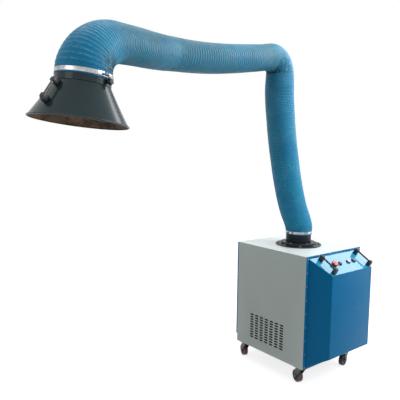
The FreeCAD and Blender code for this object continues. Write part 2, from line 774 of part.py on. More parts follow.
def bezels():
    """Bezel, cup and barrel of each control, one turned solid each."""
    rings = []
    for name, x in CONTROLS.items():
        outer, height = s.bezel, s.bezel_height
        inner = s.bezel - s.bezel_wall
        floor = s.panel_thick - s.cup_depth
        if name == "estop":
            outer, inner = s.estop_collar, s.estop_stem + s.slide_gap
        inner_low = s.estop_stem + s.slide_gap
        top = s.panel_thick + height
        seat = s.panel_thick + s.cap_lift
        points = [
            (0, CONTACT_TOP),
            (s.barrel, CONTACT_TOP),
            (s.barrel, s.panel_thick),
            (outer, s.panel_thick),
            (outer, top),
            (inner, top),
            (inner, seat),
            (inner_low, seat),
            (inner_low, floor),
            (0, floor),
        ]
        if name == "estop":
            points = points[:6] + points[8:]
        rings.append(on_panel(turned(f"bezel_{name}", points), x, s.controls_up))
    return keep("button_bezels", group("button_bezels", rings))


def push_button(name, x):
    """Stepped cap that slides in its bezel."""
    radius = s.bezel - s.bezel_wall - s.slide_gap
    low = s.panel_thick + s.press_travel + s.cap_lift * 2
    stem_low = s.panel_thick - s.cup_depth + s.press_travel + s.cap_lift
    top = low + s.cap_height
    points = [
        (0, stem_low),
        (s.estop_stem, stem_low),
        (s.estop_stem, low),
        (radius, low),
        (radius, top - s.cap_lift),
        (radius - s.cap_lift, top),
        (0, top),
    ]
    return keep(name, on_panel(turned(name, points), x, s.controls_up))


def estop_button():
    """Mushroom head on its stem."""
    low = s.panel_thick + s.estop_lift
    stem_low = s.panel_thick - s.cup_depth + s.press_travel + s.cap_lift
    top = low + s.estop_height
    points = [
        (0, stem_low),
        (s.estop_stem, stem_low),
        (s.estop_stem, low),
        (s.estop_head - s.cap_lift, low),
        (s.estop_head, low + s.cap_lift),
        (s.estop_head, top - s.estop_crown),
        (s.estop_head - s.estop_crown / 2, top - s.cap_lift),
        (s.estop_head - s.estop_crown, top),
        (0, top),
    ]
    body = turned("estop_button", points)
    return keep("estop_button", on_panel(body, s.estop_x, s.controls_up))


def contact_blocks():
    """Switch block on the end of each barrel."""
    blocks = []
    for name, x in CONTROLS.items():
        body = new_body(f"contact_{name}")
        reach = half(s.contact_width)
        plan = rectangle(new_sketch(body, "XY_Plane"), -reach, -reach, reach, reach)
        pad(body, plan, s.contact_height)
        blocks.append(on_panel(body, x, s.controls_up, CONTACT_TOP - s.contact_height))
    return keep("contact_blocks", group("contact_blocks", blocks))


def bridge_handle(prefix, length, wide, stand, bar_radius, axis, bevel, low, high, place):
    """A bar between two block feet that round over at the top: returns feet and bar."""
    feet = []
    for tag, start in (("low", low), ("high", high)):
        body = new_body(f"{prefix}_foot_{tag}")
        profile = new_sketch(body, "YZ_Plane")
        inner = stand - axis - bar_radius
        before, after = (bevel, inner) if tag == "low" else (inner, bevel)
        points = [
            (start - half(length), 0),
            (start + half(length), 0),
            (start + half(length), stand - after),
            (start + half(length) - after, stand),
            (start - half(length) + before, stand),
            (start - half(length), stand - before),
        ]
        pad(body, outline(profile, points), wide, both=True)
        body.Placement = place
        feet.append(body)
    span = high - low - length
    bar = cylinder(f"{prefix}_rod", bar_radius, span, turn=ALONG_Y)
    shift = Placement(Vector(0, number(low + half(length)), number(axis)), ALONG_Y)
    bar.Placement = place.multiply(shift)
    return feet, bar


def panel_handles():
    """One bridge handle along each edge of the control panel."""
    feet, bars = [], []
    for tag, side in (("left", -1), ("right", 1)):
        spot = Placement(Vector(side * s.handle_x.value, 0, s.panel_thick.value), Rotation())
        place = panel_frame.multiply(spot)
        foot = (s.handle_foot, s.handle_wide, s.handle_stand)
        rod = (s.handle_bar, s.handle_axis, s.handle_bevel)
        ends = (s.handle_low, s.handle_high)
        pair, bar = bridge_handle(f"handle_{tag}", *foot, *rod, *ends, place)
        feet += pair
        bars.append(bar)
    keep("panel_handle_feet", group("panel_handle_feet", feet))
    return keep("panel_handle_bars", group("panel_handle_bars", bars))


# Inside the cabinet


def electrical_box():
    """Closed sheet steel box on the bulkhead."""
    low = s.floor_gap + s.box_up
    y = front_y + s.sheet - s.box_depth
    x, wall = -half(s.box_width), s.sheet
    case = box("box_outside", s.box_width, s.box_depth, s.box_height, x, y, low)
    room = box(
        "box_inside",
        s.box_width - wall * 2,
        s.box_depth - wall * 2,
        s.box_height - wall * 2,
        x + wall,
        y + wall,
        low + wall,
    )
    return keep("electrical_box", cut("electrical_box", case, room))


def filter_shelf():
    """Shelf that the cartridge stands on, with the clean air hole and a cross strap for the rod."""
    body = new_body("filter_shelf")
    x = half(s.cab_width) - s.sheet
    low, high = front_y + s.sheet + s.bulkhead, half(s.cab_depth) - s.sheet
    plan = rectangle(new_sketch(body, "XY_Plane"), -x, low, x, high)
    ring(plan, 0, 0, s.shelf_hole)
    pad(body, plan, s.shelf_thick)
    strap = new_sketch(body, "XY_Plane")
    reach = s.shelf_hole + s.rod_radius
    rectangle(strap, -reach, -s.rod_radius * 2, reach, s.rod_radius * 2)
    pad(body, strap, s.shelf_thick)
    return keep("filter_shelf", move(body, z=shelf_z))


def pleated(radius, core, depth, count):
    """Section of a pleated cylinder: a star outside and a round core."""
    corners = []
    for index in range(2 * count):
        angle = math.pi * index / count
        reach = radius if index % 2 else radius - depth
        corners.append(Vector(reach * math.cos(angle), reach * math.sin(angle), 0))
    star = Part.Face(Part.makePolygon(corners + corners[:1]))
    hole = Part.Face(Part.Wire([Part.Circle(Vector(0, 0, 0), UP, core).toShape()]))
    return star.cut(hole).Faces[0]


def filter_cartridge():
    """Pleated cartridge between two end caps, held down by a tie rod with a nut."""
    floor = shelf_z + s.shelf_thick
    pleats_high = filter_height - s.filter_cap_height * 2
    section = pleated(
        s.filter_radius.value, s.filter_core.value, s.pleat_depth.value, int(s.pleats.value)
    )
    media = doc.addObject("Part::Feature", "filter_media")
    media.Shape = section.extrude(UP * number(pleats_high))
    low = number(floor + s.filter_cap_height)
    media.Placement = Placement(Vector(0, 0, low), Rotation())
    over = s.filter_radius + s.filter_cap_over
    foot = turned(
        "filter_foot",
        [
            (s.filter_core, 0),
            (over, 0),
            (over, s.filter_cap_height),
            (s.filter_core, s.filter_cap_height),
        ],
    )
    move(foot, z=floor)
    bore = s.rod_radius + s.slide_gap
    lid = turned(
        "filter_lid",
        [(bore, 0), (over, 0), (over, s.filter_cap_height), (bore, s.filter_cap_height)],
    )
    move(lid, z=floor + filter_height - s.filter_cap_height)
    reach = filter_height + s.rod_over
    shank = cylinder("rod_shank", s.rod_radius, reach, z=floor)
    nut = prism("rod_nut", 6, s.rod_radius * 2, s.rod_plate, z=floor + filter_height)
    rod = fuse("filter_rod", [shank, nut])
    return keep("filter_cartridge", group("filter_cartridge", [media, foot, lid, rod]))


def fan_levels():
    """Heights of the fan: housing top, wheel low and wheel high."""
    top = shelf_z
    wheel_high = top - s.scroll_wall - s.wheel_gap
    return top, wheel_high - s.fan_height, wheel_high


def fan_housing():
    """Round scroll with a straight outlet towards the vented side and an inlet on top."""
    top, wheel_low, wheel_high = fan_levels()
    low = wheel_low - s.wheel_gap - s.scroll_wall
    high = top - low
    wall = s.scroll_wall
    y = s.scroll_radius - s.outlet_width
    drum = cylinder("scroll_drum", s.scroll_radius, high, z=low)
    mouth = box("scroll_mouth", s.outlet_reach, s.outlet_width, high, -s.outlet_reach, y, low)
    skin = fuse("scroll_skin", [drum, mouth])
    deep = high - wall * 2
    hollow = cylinder("scroll_hollow", s.scroll_radius - wall, deep, z=low + wall)
    throat = box(
        "scroll_throat",
        s.outlet_reach + s.overrun,
        s.outlet_width - wall * 2,
        deep,
        -s.outlet_reach - s.overrun,
        y + wall,
        low + wall,
    )
    inlet = cylinder("scroll_inlet", s.fan_eye, wall + s.overrun, z=top - wall)
    seat = cylinder("scroll_seat", s.fan_hub + s.wheel_gap, wall + s.overrun, z=low - s.overrun)
    tools = fuse("scroll_tools", [hollow, throat, inlet, seat])
    return keep("fan_housing", cut("fan_housing", skin, tools))


def fan_wheel():
    """Back plate, shroud, hub and swept blades."""
    top, wheel_low, wheel_high = fan_levels()
    body = new_body("fan_wheel")
    plate = new_sketch(body, "XY_Plane")
    ring(plate, 0, 0, s.fan_radius)
    pad(body, plate, s.fan_plate)
    hub = ring(new_sketch(body, "XY_Plane"), 0, 0, s.fan_hub)
    pad(body, hub, s.fan_height * 0.6)
    blade = new_sketch(body, "XY_Plane")
    sweep = math.radians(s.fan_sweep.value)
    thin = s.fan_plate / 2
    inner, outer = s.fan_eye, s.fan_radius - s.fan_plate
    back_x, back_y = outer * math.cos(sweep / 2), outer * -math.sin(sweep / 2)
    lead_x, lead_y = inner * math.cos(sweep / 2), inner * math.sin(sweep / 2)
    points = [(lead_x, lead_y - thin), (back_x, back_y - thin)]
    points += [(back_x, back_y + thin), (lead_x, lead_y + thin)]
    first = pad(body, outline(blade, points), s.fan_height - s.fan_plate / 2)
    polar(body, first, blade, s.fan_blades)
    shroud = new_sketch(body, "XY_Plane", s.fan_height - s.fan_plate)
    ring(shroud, 0, 0, s.fan_radius)
    ring(shroud, 0, 0, s.fan_eye)
    body.Tip = pad(body, shroud, s.fan_plate)
    bore = ring(new_sketch(body, "XY_Plane"), 0, 0, s.shaft_radius)
    body.Tip = pocket(body, bore)
    return keep("fan_wheel", move(body, z=wheel_low))


def motor_shaft():
    """Shaft that turns with the fan wheel."""
    top, wheel_low, wheel_high = fan_levels()
    low = s.floor_gap + s.pan_wall + half(s.motor_height)
    high = wheel_low + s.fan_height * 0.6
    return keep("motor_shaft", cylinder("motor_shaft", s.shaft_radius, high - low, z=low))


def fan_motor():
    """Ribbed motor body that stands on the base pan, bored for its shaft."""
    body = new_body("motor_case")
    core = s.motor_radius - s.motor_fin
    pad(body, ring(new_sketch(body, "XY_Plane"), 0, 0, core), s.motor_height)
    rib = new_sketch(body, "XY_Plane", s.motor_fin)
    thick = half(s.motor_fin) / 2
    rectangle(rib, core - s.motor_fin, -thick, s.motor_radius, thick)
    first = pad(body, rib, s.motor_height - s.motor_fin * 2)
    polar(body, first, rib, s.motor_fins)
    bore = new_sketch(body, "XY_Plane", s.motor_height)
    ring(bore, 0, 0, s.shaft_radius + s.shaft_fit)
    body.Tip = pocket(body, bore, half(s.motor_height))
    low = s.floor_gap + s.pan_wall
    return keep("fan_motor", group("fan_motor", [move(body, z=low), motor_cradle()]))


def motor_cradle():
    """Ring that carries the fan housing on the motor."""
    top, wheel_low, wheel_high = fan_levels()
    low = s.floor_gap + s.pan_wall + s.motor_height
    high = wheel_low - s.wheel_gap - s.scroll_wall
    points = [
        (s.fan_hub + s.wheel_gap, 0),
        (s.motor_radius - s.motor_fin, 0),
        (s.motor_radius - s.motor_fin, high - low),
        (s.fan_hub + s.wheel_gap, high - low),
    ]
    return move(turned("motor_cradle", points), z=low)


# Swivel on the cabinet's top


def base_flange():
    """Round flange with the duct that the swivel collar turns on."""
    duct = collar_bore - s.shaft_fit
    inner = duct - s.spigot_wall
    points = [
        (inner, -s.spigot_depth),
        (duct, -s.spigot_depth),
        (duct, 0),
        (s.flange_radius, 0),
        (s.flange_radius, s.flange_thick),
        (duct, s.flange_thick),
        (duct, s.flange_thick + s.spigot_rise),
        (inner, s.flange_thick + s.spigot_rise),
    ]
    body = turned("base_flange", points)
    hole = ring(new_sketch(body, "XY_Plane"), s.bolt_circle, 0, s.bolt_shank)
    first = pocket(body, hole)
    polar(body, first, hole, s.bolt_count)
    return keep("base_flange", move(body, z=cab_top))


def bearing_cap():
    """Ring bolted to the flange, with a lip over the collar's foot."""
    groove = s.collar_radius + s.collar_foot + s.swivel_gap
    under = s.cap_top - s.cap_lip
    points = [
        (groove, 0),
        (s.cap_radius, 0),
        (s.cap_radius, s.cap_top - half(s.cap_lip)),
        (s.cap_radius - half(s.cap_lip), s.cap_top),
        (s.collar_radius + s.swivel_gap, s.cap_top),
        (s.collar_radius + s.swivel_gap, under),
        (groove, under),
    ]
    return keep("bearing_cap", move(turned("bearing_cap", points), z=flange_top))


def flange_bolts():
    """Hexagon bolts through the flange."""
    bolts = []
    for index in range(int(s.bolt_count.value)):
        angle = 2 * math.pi * index / s.bolt_count.value
        x, y = s.bolt_circle * math.cos(angle), s.bolt_circle * math.sin(angle)
        shank = cylinder(f"bolt_shank_{index}", s.bolt_shank, s.flange_thick, x, y, cab_top)
        head = prism(f"bolt_head_{index}", 6, s.bolt_head, s.bolt_height, x, y, flange_top)
        bolts.append(fuse(f"bolt_{index}", [shank, head]))
    return keep("flange_bolts", group("flange_bolts", bolts))


def swivel_collar():
    """Turning collar with a foot ring under the bearing cap's lip."""
    foot = s.collar_radius + s.collar_foot
    high = s.swivel_gap + s.collar_foot_thick
    points = [
        (collar_bore, s.swivel_gap),
        (foot, s.swivel_gap),
        (foot, high),
        (s.collar_radius, high),
        (s.collar_radius, s.collar_height),
        (collar_bore, s.collar_height),
    ]
    return keep("swivel_collar", move(turned("swivel_collar", points), z=flange_top))


def link_frame(origin, way, pin_way):
    """Frame of a link: Y is exactly its pin, X runs along it."""
    z = way.cross(pin_way)
    return frame(origin, pin_way.cross(z), z)


arm_turn = Rotation(UP, arm_yaw)


def shoulder_bracket():
    """Ring on the collar's top with a bridge and two lugs for the shoulder pin."""
    ring_part = turned(
        "bracket_ring",
        [
            (s.collar_radius - s.bracket_ring, 0),
            (s.collar_radius, 0),
            (s.collar_radius, s.bracket_thick),
            (s.collar_radius - s.bracket_ring, s.bracket_thick),
        ],
    )
    reach = s.collar_radius - half(s.bracket_ring)
    wide = s.bracket_half
    bridge = box("bracket_bridge", wide * 2, reach * 2, s.bracket_thick, -wide, -reach)
    lugs = []
    inner = half(s.tongue) + s.fork_gap
    for tag, side in (("near", -1), ("far", 1)):
        y = inner if side > 0 else -inner - s.cheek
        stem = box(f"lug_{tag}", wide * 2, s.cheek, s.shoulder_up, -wide, y)
        eye = cylinder(f"lug_eye_{tag}", wide, s.cheek, 0, y, s.shoulder_up, ALONG_Y)
        lugs += [stem, eye]
    solid = fuse("bracket_solid", [ring_part, bridge] + lugs)
    reach = fork_half + s.overrun
    bore = cylinder("bracket_bore", s.pin, reach * 2, 0, -reach, s.shoulder_up, ALONG_Y)
    bracket = cut("bracket_bored", solid, bore)
    bracket.Placement = Placement(UP * number(collar_top), arm_turn)
    pin = headed_pin("shoulder_pin", link_frame(shoulder, arm_out, arm_side))
    return keep("shoulder_bracket", group("shoulder_bracket", [bracket, pin]))


def headed_pin(name, place):
    """A pin along Y with a head on both ends, outside a fork."""
    seat = fork_half + s.pin_head_gap
    end = seat + s.pin_head_thick
    shank = cylinder(f"{name}_shank", s.pin, end * 2, 0, -end, 0, ALONG_Y)
    heads = []
    for tag, y in (("near", -end), ("far", seat)):
        heads.append(
            cylinder(f"{name}_{tag}", s.pin_head, s.pin_head_thick, 0, y, 0, ALONG_Y)
        )
    pin = fuse(name, [shank] + heads)
    pin.Placement = place
    return pin


# Links of the arm: each is drawn along +X with its pins along Y


def bar_between(name, reach, thick):
    """Flat bar with round ends, from one pin to the next."""
    solid = box(f"{name}_flat", reach, thick, s.eye * 2, 0, -half(thick), -s.eye)
    ends = []
    for tag, x in (("start", 0), ("end", reach)):
        ends.append(cylinder(f"{name}_{tag}", s.eye, thick, x, -half(thick), 0, ALONG_Y))
    return fuse(name, [solid] + ends)


def pin_bore(name, x, gap=s.shaft_fit):
    """Tool for a pin hole, with its running gap."""
    reach = fork_half + s.overrun
    return cylinder(name, s.pin + gap, reach * 2, x, -reach, 0, ALONG_Y)


def lower_arm():
    """Cranked flat bar from the shoulder pin to the elbow pin."""
    first = bar_between("low_bar", s.reach_low, s.tongue)
    first.Placement = link_frame(Vector(0, 0, 0), low_way, arm_side)
    second = bar_between("high_bar", s.reach_high, s.tongue)
    second.Placement = link_frame(low_way * s.reach_low.value, high_way, arm_side)
    low_bore, high_bore = pin_bore("low_bore", 0), pin_bore("high_bore", s.reach_high, 0)
    carry(low_bore, first.Placement)
    carry(high_bore, second.Placement)
    solid = fuse("lower_solid", [first, second])
    bar = cut("lower_arm_bar", solid, fuse("lower_bores", [low_bore, high_bore]))
    bar.Placement = Placement(shoulder, Rotation())
    return keep("lower_arm_bar", bar)


def forearm():
    """Bar with a fork for the elbow and, turned a quarter, a fork for the swing pin."""
    side = fork_half
    root_x = s.fork_depth
    far = s.reach_fore - s.fork_depth
    beam = box("fore_beam", far - root_x, side * 2, side * 2, root_x, -side, -side)
    pieces = [beam]
    inner = half(s.tongue) + s.fork_gap
    for tag, low in (("near", -side), ("far", inner)):
        arm = box(f"elbow_cheek_{tag}", root_x, s.cheek, s.eye * 2, 0, low, -s.eye)
        eye = cylinder(f"elbow_eye_{tag}", s.eye, s.cheek, 0, low, 0, ALONG_Y)
        blade = box(f"swing_cheek_{tag}", root_x, s.eye * 2, s.cheek, far, -s.eye, low)
        knuckle = cylinder(f"swing_eye_{tag}", s.eye, s.cheek, s.reach_fore, 0, low)
        pieces += [arm, eye, blade, knuckle]
    solid = fuse("fore_solid", pieces)
    reach = side + s.overrun
    elbow_bore = pin_bore("elbow_bore", 0)
    swing_bore = cylinder("swing_bore", s.pin, reach * 2, s.reach_fore, 0, -reach)
    bar = cut("forearm_bar", solid, fuse("fore_bores", [elbow_bore, swing_bore]))
    bar.Placement = link_frame(elbow, fore_way, arm_side)
    return keep("forearm_bar", bar)


def hood_arm():
    """Tube with a tongue for the swing pin and a tongue for the hood's tilt pin."""
    swing_eye = cylinder("hood_eye", s.eye, s.tongue, 0, -half(s.tongue), 0, ALONG_Y)
    carry(swing_eye, link_frame(swing_pin, hood_way, swing_up))
    tilt_eye = cylinder("tilt_eye", s.eye, s.tongue, 0, -half(s.tongue), 0, ALONG_Y)
    carry(tilt_eye, link_frame(tilt_pin, hood_way, hood_side))
    shank = cylinder("hood_shank", s.tube, s.reach_hood)
    shank.Placement = frame(swing_pin, hood_side, hood_way)
    solid = fuse("hood_arm_solid", [swing_eye, shank, tilt_eye])
    bores = []
    for tag, spot, way in (("swing", swing_pin, swing_up), ("tilt", tilt_pin, hood_side)):
        bore = pin_bore(f"hood_bore_{tag}", 0)
        bores.append(carry(bore, link_frame(spot, hood_way, way)))
    bar = cut("hood_arm_bar", solid, fuse("hood_arm_bores", bores))
    return keep("hood_arm_bar", bar)


# Ribbed hose


def bezier(start, start_way, end, end_way, first, second):
    """Points and directions along a cubic curve: returns a function of 0 to 1."""
    a, d = start, end
    b = a + start_way * first
    c = d - end_way * second

    def at(t):
        u = 1 - t
        spot = a * u**3 + b * (3 * t * u * u) + c * (3 * t * t * u) + d * t**3
        way = (b - a) * (3 * u * u) + (c - b) * (6 * t * u) + (d - c) * (3 * t * t)
        return spot, way.normalize()

    return at


def corner(start, start_way, end, end_way, radius):
    """Straight, round bend, straight: returns a function of 0 to 1 like a curve."""
    side = start_way.cross(end_way)
    angle = start_way.getAngle(end_way)
    gap = end - start
    before = gap.cross(end_way).dot(side) / side.dot(side)
    after = start_way.cross(gap).dot(side) / side.dot(side)
    reach = radius * math.tan(angle / 2)
    first, last = before - reach, after - reach
    axle = side.normalize()
    inward = axle.cross(start_way)
    middle = start + start_way * first + inward * radius
    total = first + radius * angle + last

    def at(t):
        run = t * total
        if run <= first:
            return start + start_way * run, Vector(start_way)
        if run >= first + radius * angle:
            return end - end_way * (total - run), Vector(end_way)
        turn = (run - first) / radius
        way = start_way * math.cos(turn) + inward * math.sin(turn)
        return middle - inward * (radius * math.cos(turn)) + start_way * (
            radius * math.sin(turn)
        ), way

    return at


def run_length(curve):
    steps = 40
    spots = [curve(index / steps)[0] for index in range(steps + 1)]
    return sum(a.distanceToPoint(b) for a, b in zip(spots, spots[1:]))


def hoop(spot, way, steady, radius):
    """A circle square to the hose, with its X axis kept steady."""
    circle = Part.Circle(spot, way, radius)
    circle.XAxis = steady - way * steady.dot(way)
    return Part.Wire([circle.toShape()])


def hose(label, curve, steady, start_radius, end_radius, cuff_start=0, cuff_end=0):
    """A length of hose: ribs outside, a smooth bore inside, and plain cuffs where it is clamped."""
    length = run_length(curve)
    ribs = max(2, round(length / s.rib_pitch.value))
    depth, wall = s.rib_depth.value, s.hose_wall.value

    def crest(t):
        return start_radius + (end_radius - start_radius) * t

    outside, inside = [], []
    spot, way = curve(0)
    if cuff_start:
        outside.append(hoop(spot - way * cuff_start, way, steady, crest(0) - depth))
        inside.append(hoop(spot - way * cuff_start, way, steady, crest(0) - depth - wall))
    for index in range(2 * ribs + 1):
        t = index / (2 * ribs)
        spot, way = curve(t)
        radius = crest(t) if index % 2 else crest(t) - depth
        outside.append(hoop(spot, way, steady, radius))
    bends = max(2, round(length / s.bore_step.value))
    turn = math.degrees(curve(0)[1].getAngle(curve(1)[1]))
    bends = max(bends, round(turn / 15))
    for index in range(bends + 1):
        t = index / bends
        spot, way = curve(t)
        inside.append(hoop(spot, way, steady, crest(t) - depth - wall))
    spot, way = curve(1)
    if cuff_end:
        outside.append(hoop(spot + way * cuff_end, way, steady, crest(1) - depth))
        inside.append(hoop(spot + way * cuff_end, way, steady, crest(1) - depth - wall))
    skin = Part.makeLoft(outside, True, True)
    bore = Part.makeLoft(inside, True, True)
    length_of_hose = doc.addObject("Part::Feature", label)
    length_of_hose.Shape = skin.cut(bore)
    return keep(label, length_of_hose)


def crest_over(radius):
    """Radius over the ribs of a hose that fits over a collar."""
    return number(radius + s.hose_fit + s.hose_wall + s.rib_depth)


def hoses():
    """The seven lengths of hose, from the swivel collar to the hood's neck."""
    gap = s.hose_gap.value
    base, over = crest_over(s.collar_radius), crest_over(s.neck_radius)
    mid, turn, fore = s.hose_mid.value, s.hose_turn.value, s.hose_fore.value
    swing, wrist = s.hose_swing.value, s.hose_wrist.value
    cuff_over, cuff = s.cuff_over.value, s.cuff.value

    start = UP * (number(collar_top) - cuff_over + cuff)
    low_start = shoulder + low_way * s.low_from.value
    shoulder_curve = bezier(start, UP, low_start - low_way * gap, low_way, cuff, cuff)
    hose("hose_shoulder", shoulder_curve, arm_side, base, base, cuff_start=cuff)

    low_end = elbow - arm_out * s.elbow_back.value - UP * s.elbow_down.value
    pulls = (s.low_first.value, s.low_last.value)
    low_curve = bezier(low_start, low_way, low_end - UP * gap, UP, *pulls)
    hose("hose_lower", low_curve, arm_side, base, mid)

    bend_way = direction(90 + s.start_droop.value, arm_yaw)
    fore_start = elbow + arm_out * s.elbow_on.value + UP * s.elbow_rise.value
    elbow_curve = corner(low_end, UP, fore_start - bend_way * gap, bend_way, s.elbow_bend.value)
    hose("hose_elbow", elbow_curve, arm_side, mid, turn)

    end_way = direction(90 + s.end_droop.value, arm_yaw)
    span = s.swing_span.value
    fore_end = swing_pin - end_way * span
    reach = fore_start.distanceToPoint(fore_end) / 3
    fore_curve = bezier(fore_start, bend_way, fore_end - end_way * gap, end_way, reach, reach)
    hose("hose_fore", fore_curve, arm_side, turn, fore)

    hood_start = swing_pin + hood_way * span
    swing_curve = bezier(
        fore_end, end_way, hood_start - hood_way * gap, hood_way, span * 0.68, span * 0.68
    )
    hose("hose_swing", swing_curve, arm_side, fore, swing)

    lift = hood_side.cross(hood_way)
    hood_end = tilt_pin - hood_way * s.wrist_span.value - lift * s.hose_bow.value
    reach = hood_start.distanceToPoint(hood_end) / 3
    hood_curve = bezier(hood_start, hood_way, hood_end - hood_way * gap, hood_way, reach, reach)
    hose("hose_end", hood_curve, hood_side, swing, wrist)

    cuff_end = s.neck_edge.value - gap + s.neck_top.value
    neck_start = hood_origin - hood_axis * s.neck_top.value
    pulls = (s.wrist_first.value, s.wrist_last.value)
    wrist_curve = bezier(hood_end, hood_way, neck_start, hood_axis, *pulls)
    hose("hose_wrist", wrist_curve, hood_side, wrist, over, cuff_end=cuff_end)


def clamp(name, hose_radius, place, screw_turn):
    """Steel band with its worm housing."""
    inner = hose_radius + s.clamp_gap
    reach = half(s.clamp_width)
    band = turned(
        f"{name}_band",
        [
            (inner, -reach),
            (inner + s.clamp_thick, -reach),
            (inner + s.clamp_thick, reach),
            (inner, reach),
        ],
    )
    house = box(
        f"{name}_screw",
        s.screw_rise,
        s.screw_length,
        s.screw_width,
        inner + half(s.clamp_thick),
        -half(s.screw_length),
        -half(s.screw_width),
    )
    ring_clamp = fuse(name, [band, house])
    ring_clamp.Placement = place.multiply(Placement(Vector(0, 0, 0), Rotation(UP, screw_turn)))
    return keep(name, ring_clamp)


# Hood: drawn about its own axis, with the clamp's middle at the origin and +Z towards the arm


def hood_neck():
    """Neck ring: the hose goes over its upper part, and the hood turns inside its lower part."""
    inner = s.neck_radius - s.neck_wall
    body = turned(
        "hood_neck",
        [
            (inner, -s.neck_low),
            (s.neck_step, -s.neck_low),
            (s.neck_step, -s.neck_edge),
            (s.neck_radius, -s.neck_edge),
            (s.neck_radius, s.neck_top),
            (inner, s.neck_top),
        ],
    )
    hole = new_sketch(body, "YZ_Plane")
    ring(hole, 0, -s.damper_down, s.damper_shaft + s.shaft_fit)
    body.Tip = pocket(body, hole)
    body.Placement = hood_frame
    return keep("hood_neck", body)


def tilt_bracket():
    """Strap over the neck with two lugs for the tilt pin."""
    body = new_body("tilt_strap")
    foot_in = s.damper_radius + half(s.strap_thick)
    foot_out = foot_in + s.strap_thick
    low, top, flat = s.neck_top, s.strap_top, s.strap_flat
    thick = s.strap_thick
    knee = low + s.strap_rise
    points = [
        (foot_in, low),
        (foot_out, low),
        (foot_out, knee),
        (flat + thick, top + thick),
        (-flat - thick, top + thick),
        (-foot_out, knee),
        (-foot_out, low),
        (-foot_in, low),
        (-foot_in, knee),
        (-flat, top),
        (flat, top),
        (foot_in, knee),
    ]
    pad(body, outline(new_sketch(body, "YZ_Plane"), points), s.strap_half * 2, both=True)
    pieces = [body]
    reach = s.neck_drop - s.strap_top
    inner = half(s.tongue) + s.fork_gap
    tab = fork_half
    pieces.append(
        box("tilt_table", tab * 2, s.eye * 2, thick, -tab, -s.eye, s.strap_top)
    )
    for tag, x in (("near", -tab), ("far", inner)):
        pieces.append(box(f"tilt_lug_{tag}", s.cheek, s.eye * 2, reach, x, -s.eye, s.strap_top))
        pieces.append(cylinder(f"tilt_eye_{tag}", s.eye, s.cheek, x, 0, s.neck_drop, ALONG_X))
    end = tab + s.overrun
    bore = cylinder("tilt_bore", s.pin, end * 2, -end, 0, s.neck_drop, ALONG_X)
    bracket = cut("tilt_bored", fuse("tilt_solid", pieces), bore)
    bracket.Placement = hood_frame
    pin = headed_pin("tilt_pin", link_frame(tilt_pin, hood_way, hood_side))
    return keep("tilt_bracket", group("tilt_bracket", [bracket, pin]))


def damper_flap():
    """Round flap, open, on the shaft that crosses the neck."""
    disc = cylinder(
        "damper_disc", s.damper_radius, s.damper_thick, 0, -half(s.damper_thick), 0, ALONG_Y
    )
    reach = s.neck_step + half(s.knob_height)
    start = -s.neck_radius + s.shaft_fit * 2
    rod = cylinder("damper_rod", s.damper_shaft, reach - start, start, 0, 0, ALONG_X)
    flap = fuse("damper_flap", [disc, rod])
    flap.Placement = hood_frame.multiply(Placement(Vector(0, 0, -s.damper_down.value), Rotation()))
    return keep("damper_flap", flap)


def damper_knob():
    """Lobed knob on the end of the damper shaft."""
    body = new_body("damper_knob")
    pad(body, ring(new_sketch(body, "XY_Plane"), 0, 0, s.knob_radius), s.knob_height)
    hollow = new_sketch(body, "XY_Plane")
    ring(hollow, s.knob_radius + half(s.knob_lobe), 0, s.knob_lobe)
    first = pocket(body, hollow)
    polar(body, first, hollow, s.knob_lobes)
    socket = ring(new_sketch(body, "XY_Plane"), 0, 0, s.damper_shaft)
    bore = pocket(body, socket, half(s.knob_height) - s.slide_gap)
    bore.Reversed = True
    body.Tip = bore
    x = number(s.neck_step + s.slide_gap)
    spot = Placement(Vector(x, 0, -s.damper_down.value), ALONG_X)
    body.Placement = hood_frame.multiply(spot)
    return keep("damper_knob", body)


cone_slope = math.atan2(s.hood_radius.value - s.neck_step.value, s.hood_height.value)


def hood_cone():
    """Spun cone with a sleeve that turns in the neck and a rolled rim."""
    top = -s.neck_low - s.slide_gap
    low = top - s.hood_height
    wall = s.hood_wall
    sleeve = s.neck_radius - s.neck_wall - s.hood_turn_gap
    inner = sleeve - wall
    points = [
        (inner, top + s.hood_lip),
        (sleeve, top + s.hood_lip),
        (sleeve, top),
        (s.neck_step, top),
        (s.hood_radius, low),
        (s.hood_radius + s.rim_roll, low),
        (s.hood_radius + s.rim_roll, low - s.rim_roll),
        (s.hood_radius - s.rim_roll, low - s.rim_roll),
        (s.neck_step - wall, top - wall),
        (inner, top - wall),
    ]
    body = turned("hood_cone", points)
    body.Placement = hood_frame
    return keep("hood_cone", body)


def hood_handle():
    """Bridge handle that stands on the cone along its slope."""
    angle = math.radians(s.grip_angle.value)
    outward = Vector(math.cos(angle), math.sin(angle), 0)
    top = Vector(0, 0, -number(s.neck_low + s.slide_gap)) + outward * s.neck_step.value
    down = outward * math.sin(cone_slope) - UP * math.cos(cone_slope)
    normal = outward * math.cos(cone_slope) + UP * math.sin(cone_slope)
    across = down.cross(normal)
    lift = normal * s.slide_gap.value
    place = hood_frame.multiply(frame(top + lift, across, normal))
    foot = (s.grip_foot, s.grip_wide, s.grip_stand)
    rod = (s.grip_bar, s.grip_axis, s.grip_bevel)
    feet, bar = bridge_handle("grip", *foot, *rod, s.grip_high, s.grip_low, place)
    keep("hood_handle_feet", group("hood_handle_feet", feet))
    return keep("hood_handle_bar", group("hood_handle_bar", [bar]))


# Casters

CORNERS = {
    "front_left": (-1, -1, s.yaw_front_left),
    "front_right": (1, -1, s.yaw_front_right),
    "back_left": (-1, 1, s.yaw_back_left),
    "back_right": (1, 1, s.yaw_back_right),
}


